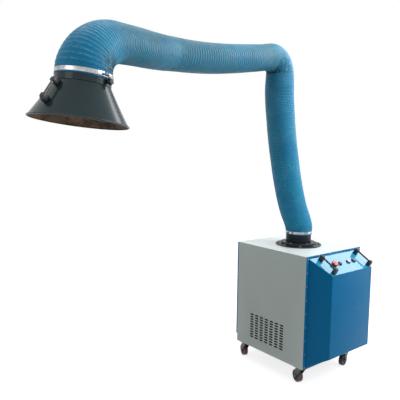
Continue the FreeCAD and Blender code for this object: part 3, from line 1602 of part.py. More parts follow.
def caster_plates():
    """Plate, swivel race and king pin of each caster, one solid each."""
    plates = []
    for tag, (side, end, yaw) in CORNERS.items():
        x, y = caster_x * side, caster_y * end
        high = s.floor_gap - s.plate_thick
        wide = s.plate_length
        plate = middle_box(
            f"plate_{tag}", wide, s.plate_width, s.plate_thick, x, y, high + half(s.plate_thick)
        )
        race_low = high - s.race_height
        race = cylinder(f"race_{tag}", s.race_radius, s.race_height, x, y, race_low)
        king = cylinder(f"king_{tag}", s.king_radius, s.king_length, x, y, race_low - s.king_length)
        plates.append(fuse(f"caster_plate_{tag}", [plate, race, king]))
    return keep("caster_plates", group("caster_plates", plates))


def caster_place(tag):
    side, end, yaw = CORNERS[tag]
    x, y = number(caster_x * side), number(caster_y * end)
    return Placement(Vector(x, y, 0), Rotation(UP, yaw.value))


def caster_fork(tag):
    """Folded fork with its axle: drawn trailing along +X."""
    body = new_body(f"fork_{tag}")
    top = s.floor_gap - s.plate_thick - s.race_height - s.slide_gap
    reach = s.race_radius - half(s.fork_thick)
    axle_z, eye = s.wheel_radius, s.fork_eye
    low = top - s.fork_thick
    points = [
        (-reach, top),
        (-reach, low - s.fork_thick),
        (s.trail - eye, axle_z),
        (s.trail - half(eye), axle_z - eye),
        (s.trail + half(eye), axle_z - eye),
        (s.trail + eye, axle_z),
        (reach + s.fork_thick, low - s.fork_thick),
        (reach + s.fork_thick, top),
    ]
    inner = half(s.wheel_width) + s.wheel_side
    wide = (inner + s.fork_thick) * 2
    pad(body, outline(new_sketch(body, "XZ_Plane"), points), wide, both=True)
    channel = new_sketch(body, "YZ_Plane")
    rectangle(channel, -inner, -s.overrun, inner, low)
    pocket(body, channel)
    pivot = ring(new_sketch(body, "XY_Plane"), 0, 0, s.king_radius + s.shaft_fit)
    pocket(body, pivot)
    bore = ring(new_sketch(body, "XZ_Plane"), s.trail, axle_z, s.axle_radius)
    body.Tip = pocket(body, bore)
    end = inner + s.fork_thick
    start = -end - s.axle_head_thick
    rod = cylinder(f"axle_rod_{tag}", s.axle_radius, end * 2, s.trail, -end, axle_z, ALONG_Y)
    heads = []
    for name, y in (("head", start), ("nut", end)):
        heads.append(
            prism(
                f"axle_{name}_{tag}", 6, s.axle_head, s.axle_head_thick, s.trail, y, axle_z, ALONG_Y
            )
        )
    axle = fuse(f"axle_{tag}", [rod] + heads)
    fork = group(f"caster_fork_{tag}", [body, axle])
    fork.Placement = caster_place(tag)
    return keep(f"caster_fork_{tag}", fork)


def caster_wheel(tag):
    """Wheel centre and tread, two turned solids that roll together."""
    reach, rim = half(s.wheel_width), s.wheel_radius - s.tyre_depth
    bore, hub = s.axle_radius + s.shaft_fit, s.hub_radius
    web = reach - s.rim_recess
    centre = [
        (bore, -reach),
        (hub, -reach),
        (hub, -web),
        (rim - s.tyre_round, -web),
        (rim - s.tyre_round, -reach),
        (rim, -reach),
        (rim, reach),
        (rim - s.tyre_round, reach),
        (rim - s.tyre_round, web),
        (hub, web),
        (hub, reach),
        (bore, reach),
    ]
    tread = [
        (rim, -reach),
        (s.wheel_radius - s.tyre_round, -reach),
        (s.wheel_radius, s.tyre_round - reach),
        (s.wheel_radius, reach - s.tyre_round),
        (s.wheel_radius - s.tyre_round, reach),
        (rim, reach),
    ]
    spot = Vector(s.trail.value, 0, s.wheel_radius.value)
    place = caster_place(tag).multiply(Placement(spot, ALONG_Y))
    solids = [turned(f"wheel_centre_{tag}", centre), turned(f"wheel_tread_{tag}", tread)]
    wheel = group(f"caster_wheel_{tag}", solids)
    wheel.Placement = place
    return keep(f"caster_wheel_{tag}", wheel)


def build():
    base_pan()
    side_panel("left_side_panel", -1, True)
    side_panel("right_side_panel", 1, False)
    top_panel()
    rear_cover()
    front_cover()
    bulkhead()
    cover_screws()
    control_panel()
    bezels()
    push_button("test_button", s.test_x)
    push_button("lamp_button", s.lamp_x)
    push_button("start_button", s.start_x)
    estop_button()
    contact_blocks()
    panel_handles()
    electrical_box()
    filter_shelf()
    filter_cartridge()
    fan_housing()
    fan_wheel()
    motor_shaft()
    fan_motor()
    base_flange()
    bearing_cap()
    flange_bolts()
    swivel_collar()
    shoulder_bracket()
    lower_arm()
    keep("elbow_pin", headed_pin("elbow_pin", link_frame(elbow, fore_way, arm_side)))
    forearm()
    keep("swing_pin", headed_pin("swing_pin", link_frame(swing_pin, fore_way, swing_up)))
    hood_arm()
    hoses()
    base_hose = s.collar_radius + s.hose_fit + s.hose_wall
    clamp("base_clamp", base_hose, Placement(UP * number(clamp_z), Rotation()), arm_yaw)
    neck_hose = s.neck_radius + s.hose_fit + s.hose_wall
    clamp("hood_clamp", neck_hose, hood_frame, 0)
    hood_neck()
    tilt_bracket()
    damper_flap()
    damper_knob()
    hood_cone()
    hood_handle()
    caster_plates()
    for tag in CORNERS:
        caster_fork(tag)
        caster_wheel(tag)


def check():
    """Stop if anything failed to build."""
    doc.recompute()
    for thing in doc.Objects:
        for fault in ("Invalid", "Error"):
            if fault in thing.State:
                raise RuntimeError(f"{thing.Name} is {fault}")
    for part in PARTS:
        if part.Shape.isNull() or not part.Shape.isValid() or not part.Shape.Solids:
            raise RuntimeError(f"{part.Label} has no valid solid")


build()
check()
os.makedirs("parts", exist_ok=True)
for part in PARTS:
    part.Shape.exportStep(f"parts/{part.Label}.step")
    solids = len(part.Shape.Solids)
    print(f"{part.Label:26s} {solids:3d} solids {part.Shape.Volume / 1000:10.1f} cm3")
for name, spot in (
    ("shoulder", shoulder),
    ("elbow", elbow),
    ("swing", swing_pin),
    ("tilt", tilt_pin),
    ("hood", hood_origin),
):
    print(f"{name:10s} {spot.x:9.2f} {spot.y:9.2f} {spot.z:9.2f}")
for name, way in (
    ("arm_side", arm_side),
    ("swing_up", swing_up),
    ("hood_side", hood_side),
    ("hood_axis", hood_axis),
):
    print(f"{name:10s} {way.x:9.5f} {way.y:9.5f} {way.z:9.5f}")
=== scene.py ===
import json
import math
import random
from collections import namedtuple

import bmesh
import bpy
from mathutils import Matrix, Vector, noise


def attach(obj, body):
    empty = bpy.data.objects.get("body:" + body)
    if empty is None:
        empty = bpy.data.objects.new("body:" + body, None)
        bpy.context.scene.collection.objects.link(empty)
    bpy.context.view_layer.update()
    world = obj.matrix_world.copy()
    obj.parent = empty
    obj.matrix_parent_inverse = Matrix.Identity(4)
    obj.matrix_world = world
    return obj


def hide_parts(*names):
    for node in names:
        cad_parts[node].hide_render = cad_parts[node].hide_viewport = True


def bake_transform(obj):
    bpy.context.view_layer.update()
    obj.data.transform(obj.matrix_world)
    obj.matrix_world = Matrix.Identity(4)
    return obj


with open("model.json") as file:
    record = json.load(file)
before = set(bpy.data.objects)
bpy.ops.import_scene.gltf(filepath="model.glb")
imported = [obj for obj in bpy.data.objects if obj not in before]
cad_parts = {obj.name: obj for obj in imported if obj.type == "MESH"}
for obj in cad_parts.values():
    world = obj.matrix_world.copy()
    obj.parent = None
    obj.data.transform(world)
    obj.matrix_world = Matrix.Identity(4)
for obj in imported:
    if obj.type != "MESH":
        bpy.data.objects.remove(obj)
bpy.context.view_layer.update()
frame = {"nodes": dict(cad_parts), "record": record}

UP = Vector((0, 0, 1))
JOINT = {j["name"]: j for j in frame["record"]["behaviour"]["joints"]}


def joint_at(name):
    return Vector(JOINT[name]["pos_m"])


def joint_axis(name):
    return Vector(JOINT[name]["axis"]).normalized()


# Materials. Colours are given as the photograph shows them and turned into linear light here.


def linear(red, green, blue):
    """A colour as seen on screen, 0 to 255, as linear light."""
    out = []
    for channel in (red, green, blue):
        c = channel / 255
        out.append(c / 12.92 if c <= 0.04045 else ((c + 0.055) / 1.055) ** 2.4)
    return out + [1]


class Nodes:
    """The node tree of a material or of the world, with short calls to add and link nodes."""

    def __init__(self, owner, shader="Principled BSDF"):
        owner.use_nodes = True
        self.owner = owner
        self.tree = owner.node_tree
        self.shader = self.tree.nodes[shader]
        self.place = self.add("ShaderNodeTexCoord")
        self.spot = self.place.outputs["Object"]

    def add(self, kind, **inputs):
        node = self.tree.nodes.new(kind)
        for key, value in inputs.items():
            name = key.replace("_", " ")
            if name in node.inputs:
                node.inputs[name].default_value = value
            else:
                setattr(node, key, value)
        return node

    def link(self, out, into):
        self.tree.links.new(out, into)

    def noise(self, scale, detail=4, rough=0.5, stretch=None):
        node = self.add("ShaderNodeTexNoise", Scale=scale, Detail=detail, Roughness=rough)
        source = self.spot
        if stretch:
            mapping = self.add("ShaderNodeMapping")
            mapping.inputs["Scale"].default_value = stretch
            self.link(source, mapping.inputs["Vector"])
            source = mapping.outputs["Vector"]
        self.link(source, node.inputs["Vector"])
        return node.outputs["Fac"]

    def ramp(self, source, stops):
        node = self.add("ShaderNodeValToRGB")
        points = node.color_ramp.elements
        while len(points) < len(stops):
            points.new(0.5)
        for point, (position, colour) in zip(points, stops):
            point.position = position
            point.color = colour
        self.link(source, node.inputs["Fac"])
        return node.outputs["Color"]

    def grade(self, source, low, high, start=0.0, end=1.0):
        """Values from start to end become low to high."""
        node = self.add("ShaderNodeMapRange")
        for name, value in (("From Min", start), ("From Max", end), ("To Min", low), ("To Max", high)):
            node.inputs[name].default_value = value
        self.link(source, node.inputs["Value"])
        return node.outputs["Result"]

    def feed(self, socket, value):
        """Links another node's output, or sets a plain value."""
        if isinstance(value, bpy.types.NodeSocket):
            self.link(value, socket)
        else:
            socket.default_value = value

    def mix(self, factor, first, second):
        """Mixes colours, whose sockets on this node are 6, 7 and, going out, 2."""
        node = self.add("ShaderNodeMix", data_type="RGBA")
        for number, value in ((0, factor), (6, first), (7, second)):
            self.feed(node.inputs[number], value)
        return node.outputs[2]

    def math(self, operation, first, second):
        node = self.add("ShaderNodeMath", operation=operation)
        self.link(first, node.inputs[0])
        self.link(second, node.inputs[1])
        return node.outputs[0]

    def times(self, first, second):
        return self.math("MULTIPLY", first, second)

    def larger(self, first, second):
        return self.math("MAXIMUM", first, second)

    def value_ramp(self, source, stops):
        """A ramp whose stops are plain values."""
        return self.ramp(source, [(position, (value, value, value, 1)) for position, value in stops])

    def bump(self, heights):
        """Heights are pairs of a source and a depth in metres, laid over each other."""
        last = None
        for source, depth in heights:
            node = self.add("ShaderNodeBump", Strength=1.0, Distance=depth)
            self.link(source, node.inputs["Height"])
            if last:
                self.link(last, node.inputs["Normal"])
            last = node.outputs["Normal"]
        self.link(last, self.shader.inputs["Normal"])

    def set(self, **inputs):
        for key, value in inputs.items():
            self.feed(self.shader.inputs[key.replace("_", " ")], value)
        return self.owner


def shade(colour, factor):
    """A colour made darker or lighter."""
    return [min(1, c * factor) for c in colour[:3]] + [1]


def edge_wear(n, colour, worn, amount):
    """Mixes a worn colour in along sharp edges."""
    geometry = n.add("ShaderNodeNewGeometry")
    blunt, sharp = 0.53, 0.62
    edge = n.grade(geometry.outputs["Pointiness"], 0, amount, blunt, sharp)
    return n.mix(edge, colour, worn)


def paint(name, colour, rough=0.35, coat=0.3, peel=0.00003, dust=0.06, shine=0.3, coat_rough=0.12):
    """Sprayed paint: slight cloudiness, orange peel and a little dust."""
    n = Nodes(bpy.data.materials.new(name))
    cloud = n.noise(2.2, 5, 0.6)
    base = n.ramp(cloud, [(0.3, shade(colour, 1 - dust)), (0.7, shade(colour, 1 + dust))])
    fine = n.noise(60, 6, 0.7)
    specks = n.ramp(fine, [(0.64, shade(colour, 1.0)), (0.74, shade(colour, 0.86))])
    colour_out = n.mix(0.35, base, specks)
    n.bump([(n.noise(420, 2), peel), (n.noise(6, 2), peel * 6)])
    roughness = n.grade(n.noise(9, 5, 0.65), rough - 0.06, rough + 0.08, 0.3, 0.7)
    return n.set(
        Base_Color=edge_wear(n, colour_out, shade(colour, 1.5), 0.35),
        Roughness=roughness,
        Specular_IOR_Level=shine,
        Coat_Weight=coat,
        Coat_Roughness=coat_rough,
    )


def metal(name, colour, rough=0.3, brush=(1, 1, 30), scratch=0.00002, stain=(0.82, 1.06)):
    """Bare or plated metal with fine brushing and stains."""
    n = Nodes(bpy.data.materials.new(name))
    dark, pale = (shade(colour, factor) for factor in stain)
    base = n.ramp(n.noise(14, 6, 0.65), [(0.36, dark), (0.6, pale)])
    lines = n.noise(180, 4, 0.6, brush)
    n.bump([(lines, scratch)])
    roughness = n.grade(lines, rough - 0.08, rough + 0.12, 0.3, 0.7)
    return n.set(Base_Color=base, Roughness=roughness, Metallic=1.0)


def plastic(name, colour, rough=0.45, grain=0.00006, scale=900, coat=0.0):
    """Moulded plastic with a fine grain."""
    n = Nodes(bpy.data.materials.new(name))
    base = n.ramp(n.noise(20, 4), [(0.35, shade(colour, 0.9)), (0.7, shade(colour, 1.12))])
    n.bump([(n.noise(scale, 2), grain)])
    roughness = n.grade(n.noise(30, 4), rough - 0.07, rough + 0.07, 0.3, 0.7)
    return n.set(
        Base_Color=edge_wear(n, base, shade(colour, 1.8), 0.4), Roughness=roughness, Coat_Weight=coat
    )


def hose_cloth(name):
    """Coated cloth over a wire helix: crests lightened in streaks, partly wear and partly a painted
    highlight, a weave, creases with painted shade and painted highlight flecks, and a tint that is partly
    dust and partly a painted sheen.
    """
    n = Nodes(bpy.data.materials.new(name))
    n.spot = n.add("ShaderNodeAttribute", attribute_name="rest_place").outputs["Vector"]
    crest = n.add("ShaderNodeAttribute", attribute_name="crest").outputs["Fac"]
    pinch = n.add("ShaderNodeAttribute", attribute_name="pinch").outputs["Fac"]
    blotch = n.noise(5, 5, 0.6)
    deep = n.ramp(blotch, [(0.3, linear(2, 116, 164)), (0.7, linear(16, 130, 168))])
    # crest colour: a painted highlight, with some wear
    crest_highlight_colour = n.ramp(blotch, [(0.3, linear(84, 176, 206)), (0.7, linear(112, 190, 208))])
    along = n.add("ShaderNodeSeparateXYZ")
    n.link(n.spot, along.inputs[0])
    from_hood = n.grade(along.outputs["X"], 0.0, 1.0, -1.8, 0.0)
    # the painted highlight on the crests is kept stronger near the hood
    wrist = n.value_ramp(
        from_hood, [(0.0, 0.5), (0.14, 0.5), (0.22, 0.2), (0.6, 0.3), (0.8, 0.05), (1.0, 0.1)]
    )
    patchy = n.larger(n.grade(n.noise(9, 4, 0.6), 0.12, 1.0, 0.42, 0.66), wrist)
    streak = n.grade(n.noise(70, 5, 0.7), 0.1, 1.25, 0.4, 0.62)
    # worn mask: crests lightened in streaks, partly wear and partly a painted highlight
    worn = n.times(n.times(n.grade(crest, 0.0, 0.9, 0.45, 1.0), streak), patchy)
    base = n.mix(worn, deep, crest_highlight_colour)
    # a grey tint along the arm, partly dust and partly a painted sheen
    dust_and_sheen_stops = [
        (0.0, 0.02), (0.1, 0.08), (0.17, 0.6), (0.3, 0.68), (0.5, 0.6), (0.72, 0.45), (0.8, 0.4),
        (0.86, 0.1), (1.0, 0.04),
    ]
    dust_and_sheen_share = n.value_ramp(from_hood, dust_and_sheen_stops)
    dust_and_sheen = n.times(n.grade(n.noise(3.2, 6, 0.68), 0.5, 1.5, 0.36, 0.68), dust_and_sheen_share)
    base = n.mix(dust_and_sheen, base, linear(76, 104, 108))
    # painted shade: dark crumples in the creases inside the bends, mostly near the hood
    painted_crease_shade = n.grade(n.noise(52, 6, 0.72), 0.3, 1.0, 0.42, 0.55)
    painted_crease_shade = n.times(painted_crease_shade, n.grade(pinch, 0.0, 1.0, 0.1, 0.5))
    painted_crease_shade = n.times(painted_crease_shade, n.value_ramp(from_hood, [(0.14, 1.0), (0.28, 0.2)]))
    base = n.mix(painted_crease_shade, base, linear(18, 58, 76))
    # painted highlight: pale flecks on the crumples inside the bends
    painted_crinkle_highlight = n.grade(n.noise(90, 4, 0.7), 0.0, 1.0, 0.56, 0.66)
    painted_crinkle_highlight = n.times(painted_crinkle_highlight, n.grade(pinch, 0.0, 0.6, 0.15, 0.6))
    base = n.mix(painted_crinkle_highlight, base, linear(136, 164, 176))
    uv = n.place.outputs["UV"]
    weave = []
    for axis in ("X", "Y"):
        wave = n.add("ShaderNodeTexWave", bands_direction=axis, Scale=260.0, Distortion=0.4)
        n.link(uv, wave.inputs["Vector"])
        weave.append(wave.outputs["Fac"])
    n.bump([(n.noise(38, 6, 0.62), 0.0016), (n.times(*weave), 0.00012)])
    roughness = n.grade(n.noise(24, 5), 0.4, 0.6, 0.3, 0.7)
    return n.set(Base_Color=base, Roughness=roughness, Specular_IOR_Level=0.18)


M = {
    # The sides and the top are one pale grey paint in two copies: the top's copy is lighter than the
    # sides', painted light from above.
    "grey": paint("grey_paint", linear(176, 186, 183), rough=0.42, coat=0.05, shine=0.15),
    "top": paint("top_paint", linear(206, 216, 216), rough=0.36, coat=0.1, shine=0.2),
    "blue": paint("blue_paint", linear(0, 102, 150), rough=0.32, coat=0.05, shine=0.06, coat_rough=0.3),
    # The control panel is the bay's blue made lighter and more cyan: partly the blue paint, partly a
    # painted reflection.
    "panel": paint("panel_paint", linear(26, 138, 176), rough=0.2, coat=0.8, dust=0.03, coat_rough=0.05),
    "black": paint("black_paint", linear(34, 38, 44), rough=0.34, coat=0.1, shine=0.15),
    "collar": paint("collar_paint", linear(28, 36, 46), rough=0.3, coat=0.08, shine=0.1),
    "hood": paint(
        "hood_paint", linear(26, 48, 53), rough=0.3, coat=0.36, peel=0.00005, shine=0.1, coat_rough=0.16
    ),
    "hood_inside": metal("hood_inside", linear(66, 54, 45), rough=0.5, stain=(0.35, 1.7)),
    "fork": metal("fork_steel", linear(80, 82, 80), rough=0.42, stain=(0.6, 1.15)),
    "grip": metal("grip_steel", linear(96, 96, 92), rough=0.4),
    "steel": metal("bare_steel", linear(112, 114, 116), rough=0.4),
    "zinc": metal("zinc_plate", linear(132, 134, 134), rough=0.34, stain=(0.6, 1.1)),
    "stainless": metal("stainless", linear(196, 198, 200), rough=0.26, brush=(1, 1, 60), stain=(0.42, 1.1)),
    "alloy": metal("alloy", linear(180, 182, 186), rough=0.35),
    "iron": paint("motor_paint", linear(60, 70, 76), rough=0.5, coat=0.0),
    "black_plastic": plastic("black_plastic", linear(24, 26, 32), rough=0.42),
    "bezel": metal("bezel_black_chrome", linear(58, 60, 66), rough=0.24),
    "red": plastic("red_button", linear(206, 44, 66), rough=0.25, coat=0.4),
    "lamp": plastic("lamp_lens", linear(232, 140, 158), rough=0.18, coat=0.6),
    "green": plastic("green_button", linear(10, 58, 46), rough=0.28, coat=0.4),
    "dark_button": plastic("dark_button", linear(26, 28, 32), rough=0.3, coat=0.3),
    "contact": plastic("contact_plastic", linear(70, 72, 76), rough=0.5),
    "tyre": plastic("tyre_rubber", linear(36, 36, 38), rough=0.62, scale=500),
    "tyre_olive": plastic("olive_rubber", linear(66, 60, 48), rough=0.5, scale=500),
    # painted shade: the parts inside the cabinet, seen through the vents, are near-black so that the slots
    # read dark
    "inner": paint("inside_painted_shade", linear(34, 36, 38), rough=0.6, coat=0.0, shine=0.05),
    "tyre_brown": plastic("brown_rubber", linear(104, 44, 44), rough=0.5, scale=500),
    # the filter media, white on the real filter, is dark grey here: painted shade behind the vents
    "media": plastic("filter_media_painted_shade", linear(60, 60, 58), rough=0.9, grain=0.0003, scale=300),
    "hose": hose_cloth("hose_cloth"),
}


# Shapes. A Piece gathers geometry from several calls and ends as one object.

SMOOTH_BELOW = math.radians(34)


def axes_frame(origin, x_axis, z_axis):
    """A matrix whose X and Z axes are given."""
    z = Vector(z_axis).normalized()
    y = z.cross(x_axis).normalized()
    x = y.cross(z)
    out = Matrix((x, y, z)).transposed().to_4x4()
    out.translation = origin
    return out


def at(x, y, z):
    return Matrix.Translation((x, y, z))


def turn(degrees, axis):
    return Matrix.Rotation(math.radians(degrees), 4, axis)


def arc(cx, cy, radius, start, end, steps):
    """Points round part of a circle, degrees."""
    out = []
    for k in range(steps + 1):
        a = math.radians(start + (end - start) * k / steps)
        out.append((cx + radius * math.cos(a), cy + radius * math.sin(a)))
    return out


def circle(radius, steps, start=0):
    """Points round a whole circle. Six of them make a hexagon."""
    return arc(0, 0, radius, start, start + 360, steps)[:-1]


def facing(outline, sign):
    """The outline itself for 1, and its mirror image for -1."""
    return [(x * sign, y) for x, y in outline][::sign]


def line(start, end, steps):
    """Points along a straight line."""
    return [start.lerp(end, k / steps) for k in range(steps + 1)]


def mesh_from(bm, name):
    mesh = bpy.data.meshes.new(name)
    bm.to_mesh(mesh)
    bm.free()
    return mesh


def add_object(name, data):
    obj = bpy.data.objects.new(name, data)
    bpy.context.scene.collection.objects.link(obj)
    return obj


def extruded(outline, depth, low=0):
    """A flat outline pushed along Z."""
    bm = bmesh.new()
    face = bm.faces.new([bm.verts.new((x, y, low)) for x, y in outline])
    made = bmesh.ops.extrude_face_region(bm, geom=[face])
    moved = [v for v in made["geom"] if isinstance(v, bmesh.types.BMVert)]
    bmesh.ops.translate(bm, vec=(0, 0, depth), verts=moved)
    bmesh.ops.recalc_face_normals(bm, faces=bm.faces)
    return bm


def round_edges(bm, edges, width, segments):
    bmesh.ops.bevel(
        bm, geom=edges, offset=width, segments=segments, profile=0.5, affect="EDGES",
        clamp_overlap=True,
    )


def soften(obj, width, segments, above):
    """A bevel on the edges that turn by more than an angle, degrees."""
    edges = obj.modifiers.new("edges", "BEVEL")
    edges.width = width
    edges.segments = segments
    edges.limit_method = "ANGLE"
    edges.angle_limit = math.radians(above)
    return edges


class Piece:
    def __init__(self, name, *materials):
        self.name = name
        self.materials = materials
        self.bm = bmesh.new()

    def take(self, bm, place=Matrix(), mat=0):
        """Adds another bmesh, moved to its place."""
        bmesh.ops.transform(bm, matrix=place, verts=bm.verts)
        for face in bm.faces:
            face.material_index = mat
        mesh = mesh_from(bm, "part")
        self.bm.from_mesh(mesh)
        bpy.data.meshes.remove(mesh)

    def lathe(self, profile, place=Matrix(), mat=0, segments=64):
        """Turns (radius, height) points about Z, closed to a ring or from axis to axis."""
        bm = bmesh.new()
        rings = []
        for radius, height in profile:
            points = circle(radius, segments) if radius else [(0, 0)]
            rings.append([bm.verts.new((x, y, height)) for x, y in points])
        pairs = list(zip(rings, rings[1:]))
        if len(rings[0]) > 1:
            pairs.append((rings[-1], rings[0]))
        for low, high in pairs:
            for k in range(segments):
                j = (k + 1) % segments
                if len(low) == 1:
                    bm.faces.new((low[0], high[j], high[k]))
                elif len(high) == 1:
                    bm.faces.new((low[k], low[j], high[0]))
                else:
                    bm.faces.new((low[k], low[j], high[j], high[k]))
        bmesh.ops.recalc_face_normals(bm, faces=bm.faces)
        self.take(bm, place, mat)

    def rod(self, radius, low, high, place, mat, segments):
        """A plain round rod along Z."""
        self.lathe([(0, low), (radius, low), (radius, high), (0, high)], place, mat, segments)

    def prism(self, outline, depth, place, mat=0, bevel=0.0, segments=2):
        """Pushes a flat outline along Z, then rounds its edges."""
        bm = extruded(outline, depth)
        if bevel:
            round_edges(bm, [e for e in bm.edges if e.calc_face_angle(0) > 0.6], bevel, segments)
        self.take(bm, place, mat)

    def block(self, size, place, mat=0, bevel=0.001, segments=2):
        """A block about its own middle, with rounded edges."""
        x, y, z = (full / 2 for full in size)
        outline = [(-x, -y), (x, -y), (x, y), (-x, y)]
        self.prism(outline, size[2], place @ at(0, 0, -z), mat, bevel, segments)

    def hull(self, corners, faces, bevel, segments):
        """A solid from its corners and faces, with rounded edges."""
        bm = bmesh.new()
        made = [bm.verts.new(c) for c in corners]
        for row in faces:
            bm.faces.new([made[k] for k in row])
        bmesh.ops.recalc_face_normals(bm, faces=bm.faces)
        round_edges(bm, list(bm.edges), bevel, segments)
        self.take(bm)

    def tube(self, points, radius, place=Matrix(), mat=0, segments=20):
        """A round bar through points, closed at both ends."""
        bm = bmesh.new()
        points = [Vector(p) for p in points]
        rings = []
        side = None
        for k, p in enumerate(points):
            ahead = points[min(k + 1, len(points) - 1)] - points[max(k - 1, 0)]
            ahead.normalize()
            if side is None:
                side = ahead.orthogonal().normalized()
            side = (side - ahead * side.dot(ahead)).normalized()
            other = ahead.cross(side)
            rings.append([bm.verts.new(p + side * x + other * y) for x, y in circle(radius, segments)])
        for low, high in zip(rings, rings[1:]):
            for i in range(segments):
                j = (i + 1) % segments
                bm.faces.new((low[i], low[j], high[j], high[i]))
        bm.faces.new(rings[0][::-1])
        bm.faces.new(rings[-1])
        bmesh.ops.recalc_face_normals(bm, faces=bm.faces)
        self.take(bm, place, mat)

    def done(self, body, slot, node):
        """Ends the piece: it rides on a body and stands for its CAD node."""
        mesh = mesh_from(self.bm, self.name)
        for material in self.materials:
            mesh.materials.append(M[material])
        mesh.polygons.foreach_set("use_smooth", [True] * len(mesh.polygons))
        mesh.set_sharp_from_angle(angle=SMOOTH_BELOW)
        obj = add_object(self.name, mesh)
        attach(obj, body)
        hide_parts(node)


# Places and sizes that several pieces share

CABINET = {"wide": 0.524, "deep": 0.565, "low": 0.108, "top": 0.784}
REAR_LOW, REAR_TOP = 0.154, 0.779
FLANGE = 0.790
COLLAR_TOP = 0.874
BASE_CLAMP = 0.8685
hood_tilt_pin = joint_at("hood_tilt")
hood_side = joint_axis("hood_tilt")
hood_up = joint_axis("hood_turn")
hood_middle = hood_tilt_pin - hood_up * 0.110
HOOD = axes_frame(hood_middle, hood_side, hood_up)
NECK_RADIUS = 0.097
PANEL_TILT = math.degrees(math.atan2(0.080, 0.133))
PANEL = at(0, -0.4155, 0.690) @ turn(PANEL_TILT, "X")
PANEL_SHEET = 0.002


# The hose

Run = namedtuple("Run", "name curve start_radius end_radius bodies pitch")
Row = namedtuple("Row", "run spot way radius phase")
SkinPoint = namedtuple("SkinPoint", "spot crest pinch uv")
RIB_DEPTH, CUFF_DEPTH, CUFF_FADE = 0.0019, 0.0034, 0.020
LENGTH_STEPS = 200
BEND_ROWS = 9
BLEND_OF = {"lower": "elbow", "fore": "elbow", "end": "wrist"}


def bezier(start, start_way, end, end_way, first, second):
    """A curve that leaves and arrives along given ways."""
    a, d = start, end
    b, c = a + start_way * first, d - end_way * second

    def along(t):
        u = 1 - t
        spot = a * u**3 + b * (3 * t * u * u) + c * (3 * t * t * u) + d * t**3
        way = (b - a) * (3 * u * u) + (c - b) * (6 * t * u) + (d - c) * (3 * t * t)
        return spot, way.normalized()

    return along


def corner(start, start_way, end, end_way, radius):
    """Straight, round bend, straight."""
    side = start_way.cross(end_way)
    angle = start_way.angle(end_way)
    gap = end - start
    before = gap.cross(end_way).dot(side) / side.dot(side)
    after = start_way.cross(gap).dot(side) / side.dot(side)
    reach = radius * math.tan(angle / 2)
    first, last = before - reach, after - reach
    inward = side.normalized().cross(start_way)
    middle = start + start_way * first + inward * radius
    total = first + radius * angle + last

    def along(t):
        run = t * total
        if run <= first:
            return start + start_way * run, start_way
        if run >= first + radius * angle:
            return end - end_way * (total - run), end_way
        turned = (run - first) / radius
        way = start_way * math.cos(turned) + inward * math.sin(turned)
        spot = middle - inward * radius * math.cos(turned) + start_way * radius * math.sin(turned)
        return spot, way

    return along


def straight(start, end):
    way = (end - start).normalized()
    return lambda t: (start.lerp(end, t), way)


def hose_runs():
    """The lengths of hose from the collar to the hood."""
    arm_out = joint_axis("shoulder_tilt").cross(UP)

    def lean(degrees):
        a = math.radians(degrees)
        return UP * math.cos(a) + arm_out * math.sin(a)

    shoulder, elbow = joint_at("shoulder_tilt"), joint_at("elbow_fold")
    swing, tilt = joint_at("forearm_swing"), hood_tilt_pin
    hood_way = (tilt - swing).normalized()
    low_way = lean(31.5)
    base, over = 0.0863, 0.0993
    mid, past, fore, swing_r, wrist = 0.086, 0.073, 0.077, 0.078, 0.076
    cuff_low = UP * (COLLAR_TOP - 0.018)
    start = UP * (COLLAR_TOP + 0.014)
    low_start = shoulder + low_way * 0.110
    low_end = elbow - arm_out * 0.032 - UP * 0.120
    bend_way, end_way = lean(100), lean(92)
    fore_start = elbow + arm_out * 0.130 + UP * 0.024
    fore_end = swing - end_way * 0.060
    hood_start = swing + hood_way * 0.060
    lift = hood_side.cross(hood_way)
    hood_end = tilt - hood_way * 0.187 - lift * 0.0123
    neck = hood_middle + hood_up * 0.008
    neck_low = hood_middle - hood_up * 0.0117
    reach = (fore_start - fore_end).length / 3
    far = (hood_start - hood_end).length / 3
    runs = [
        ("cuff_base", straight(cuff_low, start), base, base, ("swivel",), 0.010),
        ("shoulder", bezier(start, UP, low_start, low_way, 0.032, 0.032), base, base,
         ("swivel", "lower_arm"), 0.0095),
        ("lower", bezier(low_start, low_way, low_end, UP, 0.200, 0.160), base, mid,
         ("lower_arm",), 0.0098),
        ("elbow", corner(low_end, UP, fore_start, bend_way, 0.088), mid, past,
         ("lower_arm", "forearm"), 0.0115),
        ("fore", bezier(fore_start, bend_way, fore_end, end_way, reach, reach), past, fore,
         ("forearm",), 0.0165),
        ("swing", bezier(fore_end, end_way, hood_start, hood_way, 0.0408, 0.0408), fore, swing_r,
         ("forearm", "hood_arm"), 0.0165),
        ("end", bezier(hood_start, hood_way, hood_end, hood_way, far, far), swing_r, wrist,
         ("hood_arm",), 0.0145),
        ("wrist", bezier(hood_end, hood_way, neck, -hood_up, 0.082, 0.083), wrist, over,
         ("hood_arm", "hood_neck"), 0.0115),
        ("cuff_hood", straight(neck, neck_low), over, over, ("hood_neck",), 0.0115),
    ]
    return [Run(*values) for values in runs]


